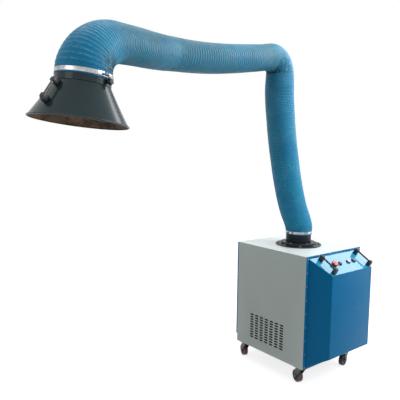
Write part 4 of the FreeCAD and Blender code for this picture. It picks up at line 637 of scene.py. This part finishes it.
def hose_rows(runs, per_rib):
    """Places for rings of points along the whole hose. Near a joint of two runs their pitches mix."""
    rows = []
    phase = 0.0
    last = len(runs) - 1
    for index, run in enumerate(runs):
        spots = [run.curve(k / LENGTH_STEPS)[0] for k in range(LENGTH_STEPS + 1)]
        length = sum((a - b).length for a, b in zip(spots, spots[1:]))
        before, after = runs[max(index - 1, 0)].pitch, runs[min(index + 1, last)].pitch
        count = max(4, round(length / run.pitch * per_rib))
        for k in range(count + (index == last)):
            t = k / count
            pitch = run.pitch
            if t < 0.3:
                pitch += (before - pitch) * 0.5 * (1 - t / 0.3)
            if t > 0.7:
                pitch += (after - pitch) * 0.5 * (t - 0.7) / 0.3
            spot, way = run.curve(t)
            radius = run.start_radius + (run.end_radius - run.start_radius) * t
            rows.append(Row(run, spot, way, radius, phase))
            phase += length / count / pitch
    return rows


def share(value):
    return max(0.0, min(1.0, value))


def clear_of_cuff(row):
    """0 where a clamp presses the skin flat, 1 away from it."""
    if row.run.name == "cuff_base":
        return share(abs(row.spot.z - BASE_CLAMP) / CUFF_FADE)
    if row.run.name in ("cuff_hood", "wrist"):
        return share(abs((row.spot - hood_middle).dot(hood_up)) / CUFF_FADE)
    return 1.0


def hose_rings(rows, around):
    """Rings of skin points: ribs wound as one helix, uneven, and crumpled inside the bends."""
    rings = []
    travelled = 0.0
    # a side carried along the hose without twist
    side = joint_axis("shoulder_tilt")
    for number, row in enumerate(rows):
        if number:
            travelled += (row.spot - rows[number - 1].spot).length
        side = (side - row.way * side.dot(row.way)).normalized()
        other = row.way.cross(side)
        back, front = rows[max(number - BEND_ROWS, 0)], rows[min(number + BEND_ROWS, len(rows) - 1)]
        bend = (front.way - back.way) * (row.radius / (front.spot - back.spot).length)
        bent = share((bend.length - 0.35) / 0.35)
        clear = clear_of_cuff(row)
        ring = []
        for k in range(around):
            a = 2 * math.pi * k / around
            wave = (0.5 + 0.5 * math.cos(2 * math.pi * (row.phase + k / around))) ** 1.6
            out = side * math.cos(a) + other * math.sin(a)
            inside = out.dot(bend)
            squeeze, stretch = max(0.0, inside), share(-inside)
            patch = noise.noise(Vector((math.cos(a) * 1.5, math.sin(a) * 1.5, travelled * 5)))
            wobble = noise.noise(Vector((math.cos(a), math.sin(a), travelled * 9))) * 0.0010
            tight = share(inside + 0.6 * bend.length) * bent
            fold = noise.noise(out * 9 + row.spot * 95) * (0.0006 + 0.0050 * squeeze + 0.0040 * tight)
            dip = RIB_DEPTH * (1 - wave) * (0.9 + 0.8 * patch + 0.6 * squeeze) * (1 - 0.85 * stretch)
            dip = CUFF_DEPTH * (1 - clear) + dip * clear
            radius = row.radius - dip + (min(0.0, wobble) + min(0.0, fold)) * clear
            uv = (a * row.radius, travelled)
            ring.append(SkinPoint(row.spot + out * radius, wave * clear, tight, uv))
        rings.append(ring)
    return rings


def skin_normals(rings):
    """Normals of the whole skin, so that the lengths meet without a seam."""
    normals = []
    for number, ring in enumerate(rings):
        low, high = rings[max(number - 1, 0)], rings[min(number + 1, len(rings) - 1)]
        around = len(ring)
        for k in range(around):
            run = high[k].spot - low[k].spot
            across = ring[(k + 1) % around].spot - ring[k - 1].spot
            normals.append(across.cross(run).normalized())
    return normals


def hose_length(name, rows, rings, normals):
    """One length of the skin as an object."""
    around = len(rings[0])
    points = [p for ring in rings for p in ring]
    faces, tex = [], []
    for number, (row, low, high) in enumerate(zip(rows, rings, rings[1:])):
        girth = 2 * math.pi * row.radius
        first = number * around
        for k in range(around):
            j = (k + 1) % around
            faces.append((first + k, first + j, first + around + j, first + around + k))
            beside = [p.uv if j else (girth, p.uv[1]) for p in (low[j], high[j])]
            tex += [low[k].uv, *beside, high[k].uv]
    mesh = bpy.data.meshes.new("hose_" + name)
    mesh.from_pydata([p.spot for p in points], [], faces)
    for kind in ("crest", "pinch"):
        values = [getattr(p, kind) for p in points]
        mesh.attributes.new(kind, "FLOAT", "POINT").data.foreach_set("value", values)
    rest_place = mesh.attributes.new("rest_place", "FLOAT_VECTOR", "POINT")
    rest_place.data.foreach_set("vector", [c for p in points for c in p.spot])
    layer = mesh.uv_layers.new(name="UVMap")
    layer.data.foreach_set("uv", [c for pair in tex for c in pair])
    mesh.polygons.foreach_set("use_smooth", [True] * len(mesh.polygons))
    mesh.materials.append(M["hose"])
    mesh.normals_split_custom_set_from_vertices([tuple(v) for v in normals])
    obj = add_object("hose_skin_" + name, mesh)
    return obj


def hose():
    """One ribbed skin from end to end, cut into lengths: a length that goes with one body rides on it, the
    others stay where they are made.
    """
    around, per_rib = ((120, 6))
    runs = {run.name: run for run in hose_runs()}
    rows = hose_rows(list(runs.values()), per_rib)
    rings = hose_rings(rows, around)
    normals = skin_normals(rings)
    made, ends = {}, {}
    for name, run in runs.items():
        mine = [number for number, row in enumerate(rows) if row.run is run]
        first, past = mine[0], min(mine[-1] + 2, len(rows))
        made[name] = hose_length(
            name, rows[first:past], rings[first:past], normals[first * around:past * around]
        )
        ends[name] = rows[first], rows[past - 1]
    # a length beside a bend goes with the bend: on a single body it rides on it, across two bodies it stays
    # where it is made
    for name in runs:
        lead = BLEND_OF.get(name, name)
        bodies = runs[lead].bodies
        if len(bodies) == 1:
            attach(made[name], bodies[0])
            continue
        first, last = ends[lead]
        start, end = first.spot.copy(), last.spot.copy()
        way = (end - start).normalized()
        if lead in ("shoulder", "swing"):
            start += way * (first.radius * first.way.cross(way).length)
        if lead != "elbow":
            end -= way * (last.radius * last.way.cross(way).length)
        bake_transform(made[name])
    for name in ("shoulder", "lower", "elbow", "fore", "swing", "end", "wrist"):
        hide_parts("hose_" + name)


def hose_clamp(name, inner, place, body, node):
    """Worm drive clamp: a band with slots, its tail, the housing and the screw with its hexagonal head."""
    p = Piece(name, "stainless", "steel")
    half, lip = 0.007, 0.0012
    outer = inner + 0.0016
    p.lathe(
        [
            (inner, -half), (outer, -half), (outer + 0.0003, lip - half), (outer, 0),
            (outer + 0.0003, half - lip), (outer, half), (inner, half),
        ],
        place, segments=128,
    )
    house = place @ at(outer + 0.0055, 0, 0)
    p.prism(arc(0, 0, 0.0062, -20, 200, 14) + [(-0.0062, -0.005), (0.0062, -0.005)], 0.018,
            house @ turn(90, "X") @ turn(90, "Z") @ at(0, 0, -0.009) @ turn(-90, "Z"), 0, 0.0006)
    p.tube([(0, -0.019, 0), (0, 0.016, 0)], 0.0036, house, 1)
    p.prism(circle(0.0058, 6, 30), 0.006, house @ at(0, -0.019, 0) @ turn(90, "X"), 1, 0.0006)
    slot_gap = math.degrees(0.0032 / outer)
    for k in (*range(-7, -2), *range(3, 8)):
        slot_place = place @ turn(slot_gap * k, "Z") @ at(outer + 0.0004, 0, 0) @ turn(16, "X")
        p.block((0.0006, 0.0012, 0.0085), slot_place, 1, 0.0002, 1)
    tail, back = [], []
    for k in range(9):
        a = math.radians(4 + k * 2.2)
        radius = outer + 0.0012 + 0.0027 * (k / 8) ** 2
        tail.append((radius * math.cos(a), radius * math.sin(a)))
        back.append(((radius + 0.0009) * math.cos(a), (radius + 0.0009) * math.sin(a)))
    p.prism(tail + back[::-1], 0.012, place @ at(0, 0, -0.006))
    p.done(body, "stainless", node)


# Swivel and flange on the cabinet's top


def swivel():
    p = Piece("top_flange", "black")
    z = FLANGE
    p.lathe(
        [
            (0.0744, 0.724), (0.0769, 0.724), (0.0769, 0.784), (0.1435, 0.784), (0.1450, 0.7855),
            (0.1450, 0.7885), (0.1438, 0.7898), (0.1425, z), (0.0769, z), (0.0769, 0.852),
            (0.0744, 0.852),
        ],
        segments=160,
    )
    p.done("cabinet", "black_metal", "base_flange")
    p = Piece("swivel_bearing_ring", "black", "zinc")
    p.lathe(
        [
            (0.0945, z), (0.1108, z), (0.112, z + 0.0012), (0.112, z + 0.0105), (0.1112, z + 0.0122),
            (0.1092, z + 0.0136), (0.1072, z + 0.014), (0.0825, z + 0.014), (0.0810, z + 0.0128),
            (0.0810, z + 0.009), (0.0805, z + 0.008), (0.0945, z + 0.008),
        ],
        segments=144,
    )
    bolt = [
        (0, 0.0031), (0.0024, 0.0030), (0.0042, 0.0022), (0.005, 0.0006), (0.005, -0.0004), (0, -0.0004)
    ]
    for k in range(6):
        p.lathe(bolt, turn(60 * k + 12, "Z") @ at(0.1005, 0, z + 0.014), 1, 24)
    p.done("cabinet", "black_metal", "bearing_cap")
    p = Piece("flange_bolt_set", "zinc", "steel")
    washer = [
        (0.0042, 0), (0.0098, 0), (0.0102, 0.0004), (0.0102, 0.0011), (0.0098, 0.0015), (0.0042, 0.0015)
    ]
    rng = random.Random(7)
    for k in range(8):
        spot = turn(45 * k, "Z") @ at(0.130, 0, z)
        p.lathe(washer, spot, 1, 32)
        twist = turn(rng.uniform(0, 60), "Z")
        p.prism(circle(0.0074, 6), 0.0050, spot @ twist @ at(0, 0, 0.0015), 0, 0.0006)
    p.done("cabinet", "zinc", "flange_bolts")
    p = Piece("swivel_collar_tube", "collar")
    p.lathe(
        [
            (0.0770, 0.7905), (0.0940, 0.7905), (0.0940, 0.797), (0.0800, 0.797), (0.0800, 0.8380),
            (0.0806, 0.8395), (0.0806, 0.8425), (0.0800, 0.8440), (0.0800, 0.8735),
            (0.0795, COLLAR_TOP), (0.0770, COLLAR_TOP),
        ],
        segments=128,
    )
    p.done("swivel", "collar_metal", "swivel_collar")


# Cabinet


def slot_cutters(x, low):
    """Long round-ended bars through the side, in 10 rows of 7."""
    bm = bmesh.new()
    ring = arc(0.010, 0, 0.005, -90, 90, 6) + arc(-0.010, 0, 0.005, 90, 270, 6)
    for row in range(10):
        for column in range(7):
            cy, cz = 0.144 - 0.0423 * column, low + 0.070 + 0.0165 * row
            first, second = (
                [bm.verts.new((x + reach, cy + a, cz + b)) for a, b in ring] for reach in (-0.01, 0.01)
            )
            bm.faces.new(first)
            bm.faces.new(second[::-1])
            for k in range(len(ring)):
                j = (k + 1) % len(ring)
                bm.faces.new((first[k], second[k], second[j], first[j]))
    bmesh.ops.recalc_face_normals(bm, faces=bm.faces)
    return add_object("slots", mesh_from(bm, "slots"))


def slotted_side():
    """The vented side: a folded panel with rows of punched slots, their edges rounded."""
    x, y = CABINET["wide"] / 2, CABINET["deep"] / 2
    low, sheet, fold = CABINET["low"], 0.002, 0.026
    outline = [
        (-x, -y), (-x, y), (fold - x, y), (fold - x, y - sheet), (sheet - x, y - sheet),
        (sheet - x, sheet - y), (fold - x, sheet - y), (fold - x, -y),
    ]
    bm = extruded(outline, CABINET["top"] - sheet - low, low)
    upright = [e for e in bm.edges if abs(e.verts[0].co.z - e.verts[1].co.z) > 0.1]
    outer = [e for e in upright if e.verts[0].co.x < 0.001 - x]
    round_edges(bm, outer, 0.0018, 3)
    panel = add_object("vented_side", mesh_from(bm, "vented_side"))
    cutters = slot_cutters(-x, low)
    boolean = panel.modifiers.new("slots", "BOOLEAN")
    boolean.object = cutters
    boolean.operation = "DIFFERENCE"
    boolean.solver = "EXACT"
    soften(panel, 0.0004, 1, 50)
    bpy.context.view_layer.update()
    cut = bpy.data.meshes.new_from_object(panel.evaluated_get(bpy.context.evaluated_depsgraph_get()))
    bpy.data.objects.remove(cutters)
    bpy.data.objects.remove(panel)
    p = Piece("vented_side_panel", "grey")
    p.bm.from_mesh(cut)
    p.done("cabinet", "grey_panel", "left_side_panel")


def bay():
    """The control bay: folded sheet with rounded corners on a flat flange."""
    x, back = CABINET["wide"] / 2, -CABINET["deep"] / 2
    low, top = CABINET["low"], CABINET["top"]
    corners = []
    for half, y, bottom, head in (
        (x - 0.068, back - 0.133, low + 0.093, top - 0.094), (x - 0.020, back, low + 0.012, top - 0.014)
    ):
        corners += [(-half, y, bottom), (half, y, bottom), (half, y, head), (-half, y, head)]
    faces = [(0, 1, 2, 3), (4, 7, 6, 5), (0, 4, 5, 1), (3, 2, 6, 7), (0, 3, 7, 4), (1, 5, 6, 2)]
    p = Piece("control_bay", "blue")
    p.hull(corners, faces, 0.0030, 3)
    p.block((x * 2, 0.002, top - low), at(0, back - 0.001, (top + low) / 2), bevel=0.0006)
    p.done("cabinet", "blue_paint", "front_cover")


def pan_head(p, spot, radius=0.005):
    """Domed screw head with a cross recess."""
    height = 0.003
    dome = [
        (0, height), (radius * 0.55, height * 0.96), (radius * 0.86, height * 0.66),
        (radius, height * 0.2), (radius, 0), (0, 0),
    ]
    p.lathe(dome, spot, 0, 20)
    for angle in (0, 90):
        recess = spot @ turn(angle, "Z") @ at(0, 0, height)
        p.block((radius * 1.05, radius * 0.2, 0.0004), recess, 1, 0.0001, 1)


def screws():
    p = Piece("cover_screw_set", "zinc", "steel")
    x = CABINET["wide"] / 2 - 0.010
    face = -CABINET["deep"] / 2 - 0.002
    tall = CABINET["top"] - CABINET["low"] - 0.028
    rng = random.Random(3)
    forward = turn(90, "X")
    for side in (-1, 1):
        for k in range(9):
            z = CABINET["low"] + 0.014 + tall * k / 8
            pan_head(p, at(x * side, face, z) @ forward @ turn(rng.uniform(0, 90), "Z"))
    for k in range(1, 5):
        spot = at(x * 2 * k / 5 - x, face, CABINET["top"] - 0.007)
        pan_head(p, spot @ forward @ turn(rng.uniform(0, 90), "Z"))
    low, run = REAR_LOW + 0.028, REAR_TOP - REAR_LOW - 0.056
    for side in (-1, 1):
        for k in range(4):
            spot = at(0.257 * side, 0.290, low + run * k / 3) @ turn(90 * side, "Y")
            pan_head(p, spot @ turn(rng.uniform(0, 90), "Z"), 0.0045)
    p.done("cabinet", "zinc", "cover_screws")


def rear():
    """Rear cover: a shallow tray with rounded folds, and a lip under it."""
    p = Piece("rear_tray", "blue")
    y = CABINET["deep"] / 2
    middle = (REAR_LOW + REAR_TOP) / 2
    p.block((0.514, 0.015, REAR_TOP - REAR_LOW), at(0, y + 0.0075, middle), bevel=0.0022, segments=3)
    p.block((0.508, 0.0014, 0.020), at(0, y + 0.0008, REAR_LOW - 0.006), bevel=0.0003, segments=1)
    p.done("cabinet", "blue_paint", "rear_cover")


def control_details():
    """Bezels, caps, the mushroom head and the two handles."""
    t = PANEL_SHEET
    places = {
        name: PANEL @ at(x, 0.074, 0)
        for name, x in (("estop", -0.098), ("test", -0.043), ("lamp", 0.039), ("start", 0.092))
    }
    wide_bezel = [
        (0.0073, t), (0.0170, t), (0.0170, t + 0.0030), (0.0160, t + 0.0045), (0.0120, t + 0.0060),
        (0.0073, t + 0.0060),
    ]
    bezel = [
        (0.0116, t), (0.0150, t), (0.0150, t + 0.0018), (0.0141, t + 0.0044), (0.0128, t + 0.0058),
        (0.0118, t + 0.0060), (0.0116, t + 0.0056),
    ]
    p = Piece("control_bezels", "bezel", "black_plastic")
    for name, spot in places.items():
        if name == "estop":
            p.lathe(wide_bezel, spot, 1, 48)
        else:
            p.lathe(bezel, spot, 0, 48)
        p.rod(0.0108, -0.024, 0.0003, spot, 1, 32)
    p.done("cabinet", "bezel_plastic", "button_bezels")
    low = 0.007
    cap = [
        (0, low), (0.0113, low), (0.0113, low + 0.0038), (0.0108, low + 0.0048), (0.0096, low + 0.0052),
        (0.0060, low + 0.0046), (0, low + 0.0043),
    ]
    for name, look, slot in (
        ("test", "dark_button", "test_black"), ("lamp", "lamp", "lamp_red"),
        ("start", "green", "start_green"),
    ):
        p = Piece(name + "_cap", look, "black_plastic")
        p.lathe(cap, places[name], 0, 40)
        p.rod(0.007, 0.0035, low, places[name], 1, 24)
        p.done(name, slot, name + "_button")
    low = 0.012
    mushroom = [
        (0, low), (0.0178, low), (0.0194, low + 0.0008), (0.0200, low + 0.0024), (0.0200, low + 0.0056),
        (0.0190, low + 0.0083), (0.0164, low + 0.0101), (0.0128, low + 0.0108), (0.0060, low + 0.0109),
        (0, low + 0.0110),
    ]
    p = Piece("estop_mushroom", "red", "black_plastic")
    p.lathe(mushroom, places["estop"], 0, 56)
    p.rod(0.007, 0.0045, low, places["estop"], 1, 24)
    p.done("estop", "estop_red", "estop_button")
    feet, bars = Piece("panel_handle_ends", "black_plastic"), Piece("panel_handle_grips", "black")
    foot = [(-0.0125, 0), (0.0125, 0), (0.0125, 0.030), (0.0060, 0.038), (-0.0060, 0.038), (-0.0125, 0.030)]
    for side in (-1, 1):
        x = 0.170 * side
        for y, sign in ((0.016, -1), (0.125, 1)):
            place = PANEL @ at(x, y, t) @ at(-0.010, 0, 0) @ turn(90, "Z") @ turn(90, "X")
            feet.prism(facing(foot, sign), 0.020, place, 0, 0.0018, 3)
        start, end = (PANEL @ Vector((x, y, t + 0.028)) for y in (0.0285, 0.1125))
        bars.tube(line(start, end, 6), 0.005)
    feet.done("cabinet", "black_plastic", "panel_handle_feet")
    bars.done("cabinet", "black_metal", "panel_handle_bars")


# Hood


def hood():
    top, low = -0.0353, -0.1593
    narrow, wide = 0.0978, 0.1695
    wall, rounding = 0.002, 0.0022
    profile = [
        (0.0879, top + 0.008), (0.0899, top + 0.008), (0.0899, top), (0.0955, top),
        (0.0968, top - 0.0006), (narrow, top - rounding),
    ]
    for k in range(1, 13):
        s = k / 12
        hollow = 0.0012 * math.sin(math.pi * s)
        profile.append((narrow + (wide - narrow) * s - hollow, top - rounding + (low + rounding - top) * s))
    profile += arc(0.1698, low - 0.0002, 0.0028, 60, -210, 14)
    profile += [(0.1675, low + 0.0006), (0.0955, top - wall - 0.0006), (0.0879, top - wall)]
    p = Piece("hood_shell", "hood", "hood_inside")
    p.lathe(profile, HOOD, 0, 176)
    for face in p.bm.faces:
        spoke = face.calc_center_median() - HOOD.translation
        spoke -= hood_up * spoke.dot(hood_up)
        face.material_index = 1 if face.normal.dot(spoke) < 0 else 0
    seam = line(Vector((0.0987, 0, top - 0.004)), Vector((0.1697, 0, low + 0.002)), 10)
    p.tube(seam, 0.0011, HOOD @ turn(60, "Z"), 0, 10)
    p.done("hood", "hood_paint", "hood_cone")
    p = Piece("hood_neck_ring", "hood")
    p.lathe(
        [
            (0.090, -0.035), (0.0962, -0.035), (NECK_RADIUS, -0.0342), (NECK_RADIUS, -0.0128),
            (0.0962, -0.012), (0.093, -0.012), (0.093, 0.008), (0.090, 0.008),
        ],
        HOOD, 0, 144,
    )
    p.done("hood_neck", "black_metal", "hood_neck")
    slope = math.atan2(wide - NECK_RADIUS, top - low)
    out = (HOOD @ turn(-100, "Z")).to_3x3().col[0]
    down = out * math.sin(slope) - hood_up * math.cos(slope)
    normal = out * math.cos(slope) + hood_up * math.sin(slope)
    start = HOOD.translation + hood_up * top + out * NECK_RADIUS
    place = axes_frame(start + normal * 0.0003, down.cross(normal), normal)
    feet, bar = Piece("hood_handle_ends", "black_plastic"), Piece("hood_handle_grip", "grip")
    foot = [(-0.011, 0), (0.011, 0), (0.011, 0.024), (0.009, 0.026), (-0.003, 0.026), (-0.011, 0.018)]
    for v, sign in ((0.019, 1), (0.092, -1)):
        upright = place @ at(-0.009, v, 0) @ turn(90, "Z") @ turn(90, "X")
        feet.prism(facing(foot, sign), 0.018, upright, 0, 0.0016, 3)
    bar.tube(line(Vector((0, 0.0295, 0.019)), Vector((0, 0.0815, 0.019)), 6), 0.005, place)
    feet.done("hood", "black_plastic", "hood_handle_feet")
    bar.done("hood", "grip_bar", "hood_handle_bar")
    p = Piece("damper_knob_star", "black_plastic")
    knob = HOOD @ at(0.0973, 0, -0.020) @ turn(90, "Y")
    star = []
    for k in range(60):
        a = 2 * math.pi * k / 60
        radius = 0.0109 + 0.0010 * math.cos(5 * a)
        star.append((radius * math.cos(a), radius * math.sin(a)))
    p.rod(0.0066, 0, 0.0062, knob, 0, 32)
    p.prism(star, 0.0128, knob @ at(0, 0, 0.006), 0, 0.0022, 3)
    p.done("damper", "black_plastic", "damper_knob")


# Casters


def casters():
    spots = {
        "front_left": (-1, -1, 76), "front_right": (1, -1, 190), "back_left": (-1, 1, 70),
        "back_right": (1, 1, 235),
    }
    king_plate = [
        (0, 0.105), (0.024, 0.105), (0.025, 0.104), (0.025, 0.101), (0.0235, 0.0975), (0.021, 0.097),
        (0, 0.097),
    ]
    king_pin = [(0, 0.097), (0.006, 0.097), (0.006, 0.0905), (0.0055, 0.090), (0, 0.090)]
    top, low, axle_up = 0.0967, 0.0937, 0.0375
    leg = [
        (-0.0235, top), (-0.0235, 0.0905), (0.015, axle_up), (0.0165, 0.0305), (0.0215, 0.0262),
        (0.0325, 0.0262), (0.0375, 0.0305), (0.039, axle_up), (0.0265, 0.0905), (0.0265, top),
    ]
    crown = [(0.00605, low), (0.0235, low), (0.0235, top), (0.00605, top)]
    tread = [(0.0285, -0.0135), (0.0345, -0.0132)] + arc(0.0345, -0.0102, 0.003, -80, 0, 4)
    tread += arc(0.0345, 0.0102, 0.003, 0, 80, 4) + [(0.0345, 0.0132), (0.0285, 0.0135)]
    half_centre = [
        (0.00505, -0.0135), (0.0130, -0.0135), (0.0140, -0.0125), (0.0140, -0.0078), (0.0245, -0.0075),
        (0.0256, -0.0125), (0.0285, -0.0133),
    ]
    centre = half_centre + [(radius, -height) for radius, height in half_centre[::-1]]
    plates = Piece("caster_top_plates", "zinc", "steel")
    for tag, (side, end, yaw) in spots.items():
        x, y = 0.222 * side, 0.236 * end
        plates.block((0.074, 0.062, 0.003), at(x, y, 0.1065), 0, 0.0008)
        for cx in (-0.029, 0.029):
            for cy in (-0.023, 0.023):
                plates.prism(circle(0.0055, 6), 0.0035, at(x + cx, y + cy, 0.1015), 1, 0.0004)
        plates.lathe(king_plate, at(x, y, 0), 0, 48)
        plates.lathe(king_pin, at(x, y, 0), 1, 24)
        place = at(x, y, 0) @ turn(yaw, "Z")
        axle = place @ at(0.027, 0, axle_up)
        fork = Piece("caster_fork_" + tag + "_skin", "fork", "steel")
        for s in (-1, 1):
            fork.prism(leg, 0.003, place @ at(0, s * 0.017 + 0.0015, 0) @ turn(90, "X"), 0, 0.0009)
        fork.lathe(crown, place, 0, 40)
        fork.tube([(0, -0.0185, 0), (0, 0.0185, 0)], 0.005, axle, 1)
        for s in (-1, 1):
            fork.prism(circle(0.0080, 6), 0.004, axle @ turn(-90 * s, "X") @ at(0, 0, 0.0185), 1, 0.0006)
        fork.done("caster_" + tag, "zinc", "caster_fork_" + tag)
        tyre = {"back_left": "tyre_brown", "front_left": "tyre_olive"}.get(tag, "tyre")
        wheel = Piece("caster_wheel_" + tag + "_skin", tyre, "contact")
        wheel.lathe(tread, axle @ turn(-90, "X"), 0, 64)
        wheel.lathe(centre, axle @ turn(-90, "X"), 1, 48)
        wheel.done("wheel_" + tag, "tyre_dark" if tyre == "tyre" else "tyre_brown", "caster_wheel_" + tag)
    plates.done("cabinet", "zinc", "caster_plates")


def dress_nodes():
    """Gives the CAD nodes that show as they are their material, and rounds their edges a little."""
    for material, bevel, nodes in (
        # the parts inside the cabinet take the near-black painted shade
        ("inner", 0, ("bulkhead", "filter_shelf", "fan_housing")),
        ("inner", 0.0006, ("base_pan",)),
        ("inner", 0.001, ("electrical_box",)),
        ("grey", 0.0008, ("right_side_panel",)),
        ("top", 0.0008, ("top_panel",)),
        ("panel", 0.0006, ("control_panel",)),
        ("contact", 0.0008, ("contact_blocks",)),
        # the filter takes a dark grey painted shade
        ("media", 0, ("filter_cartridge",)),
        ("iron", 0, ("fan_motor",)),
        ("alloy", 0, ("fan_wheel",)),
        ("alloy", 0.001, ("lower_arm_bar", "forearm_bar")),
        ("alloy", 0.0005, ("hood_arm_bar",)),
        ("steel", 0, ("motor_shaft",)),
        ("steel", 0.0005, ("shoulder_bracket", "elbow_pin", "swing_pin", "tilt_bracket")),
        ("steel", 0.0003, ("damper_flap",)),
    ):
        for node in nodes:
            obj = frame["nodes"][node]
            obj.data.materials.clear()
            obj.data.materials.append(M[material])
            if bevel:
                soften(obj, bevel, 2, 35).harden_normals = True


# Floor, lights and camera


def area_light(name, place, target, size, power):
    data = bpy.data.lights.new(name, "AREA")
    data.shape = "RECTANGLE"
    data.size, data.size_y = size
    data.energy = power
    obj = add_object(name, data)
    obj.location = place
    obj.rotation_euler = (Vector(target) - Vector(place)).to_track_quat("-Z", "Y").to_euler()
    obj.visible_camera = False


def seen(n, plain, white):
    """White for the camera and for what metal and glass show, plain for the light on the object."""
    ray = n.add("ShaderNodeLightPath").outputs
    mirrored = n.larger(ray["Is Glossy Ray"], ray["Is Transmission Ray"])
    return n.grade(n.larger(ray["Is Camera Ray"], mirrored), plain, white)


def studio():
    """White floor and background, soft lights and the photograph's camera."""
    size = 40
    mesh = bpy.data.meshes.new("floor")
    mesh.from_pydata(
        [(-size, -size, 0), (size, -size, 0), (size, size, 0), (-size, size, 0)], [], [(0, 1, 2, 3)]
    )
    n = Nodes(bpy.data.materials.new("floor_paint"))
    white = n.ramp(n.noise(1.5, 3), [(0.3, linear(194, 195, 195)), (0.7, linear(198, 198, 198))])
    n.set(Base_Color=white, Roughness=0.9, Specular_IOR_Level=0.0, Emission_Color=(1, 1, 1, 1))
    mesh.materials.append(n.set(Emission_Strength=seen(n, 0.0, 0.79)))
    floor = add_object("floor", mesh)
    n = Nodes(bpy.data.worlds.new("studio"), "Background")
    scene = bpy.context.scene
    scene.world = n.set(Color=(1, 1, 1, 1), Strength=seen(n, 0.42, 1.0))
    area_light("key", (0.8, -2.2, 2.7), (-0.5, -0.1, 1.2), (1.6, 1.6), 66)
    area_light("top", (-0.6, 0.5, 4.2), (-0.6, 0.1, 0.8), (3.0, 2.0), 50)
    area_light("side", (2.0, -0.2, 2.2), (0, -0.35, 0.75), (1.2, 1.2), 11)
    area_light("front", (3.0, -2.3, 0.8), (0.1, -0.4, 0.6), (1.6, 1.4), 16)
    area_light("left", (-3.2, -0.7, 2.3), (-1.65, -0.45, 1.75), (0.9, 0.9), 4)
    area_light("flank", (0.2, -0.2, 2.4), (-1.65, -0.45, 1.6), (0.35, 1.0), 6)
    camera_data = bpy.data.cameras.new("camera")
    camera_data.sensor_width = 36
    camera_data.lens = 42.9
    camera = add_object("camera", camera_data)
    right = Vector((0.78510213, -0.61924154, 0.01243227))
    up = Vector((0.05540354, 0.09020688, 0.9943808))
    back = Vector((-0.61688337, -0.78000169, 0.10512979))
    grid = Matrix((right, up, back)).transposed().to_4x4()
    grid.translation = (-2.39995867, -1.99830999, 1.38735125)
    camera.matrix_world = grid
    scene.camera = camera
    scene.view_settings.view_transform = "Standard"


studio()
dress_nodes()
hose()
hose_clamp("base_hose_clamp", 0.0830, at(0, 0, BASE_CLAMP) @ turn(187, "Z"), "swivel", "base_clamp")
hose_clamp("hood_hose_clamp", 0.0960, HOOD, "hood_neck", "hood_clamp")
swivel()
slotted_side()
bay()
screws()
rear()
control_details()
hood()
casters()
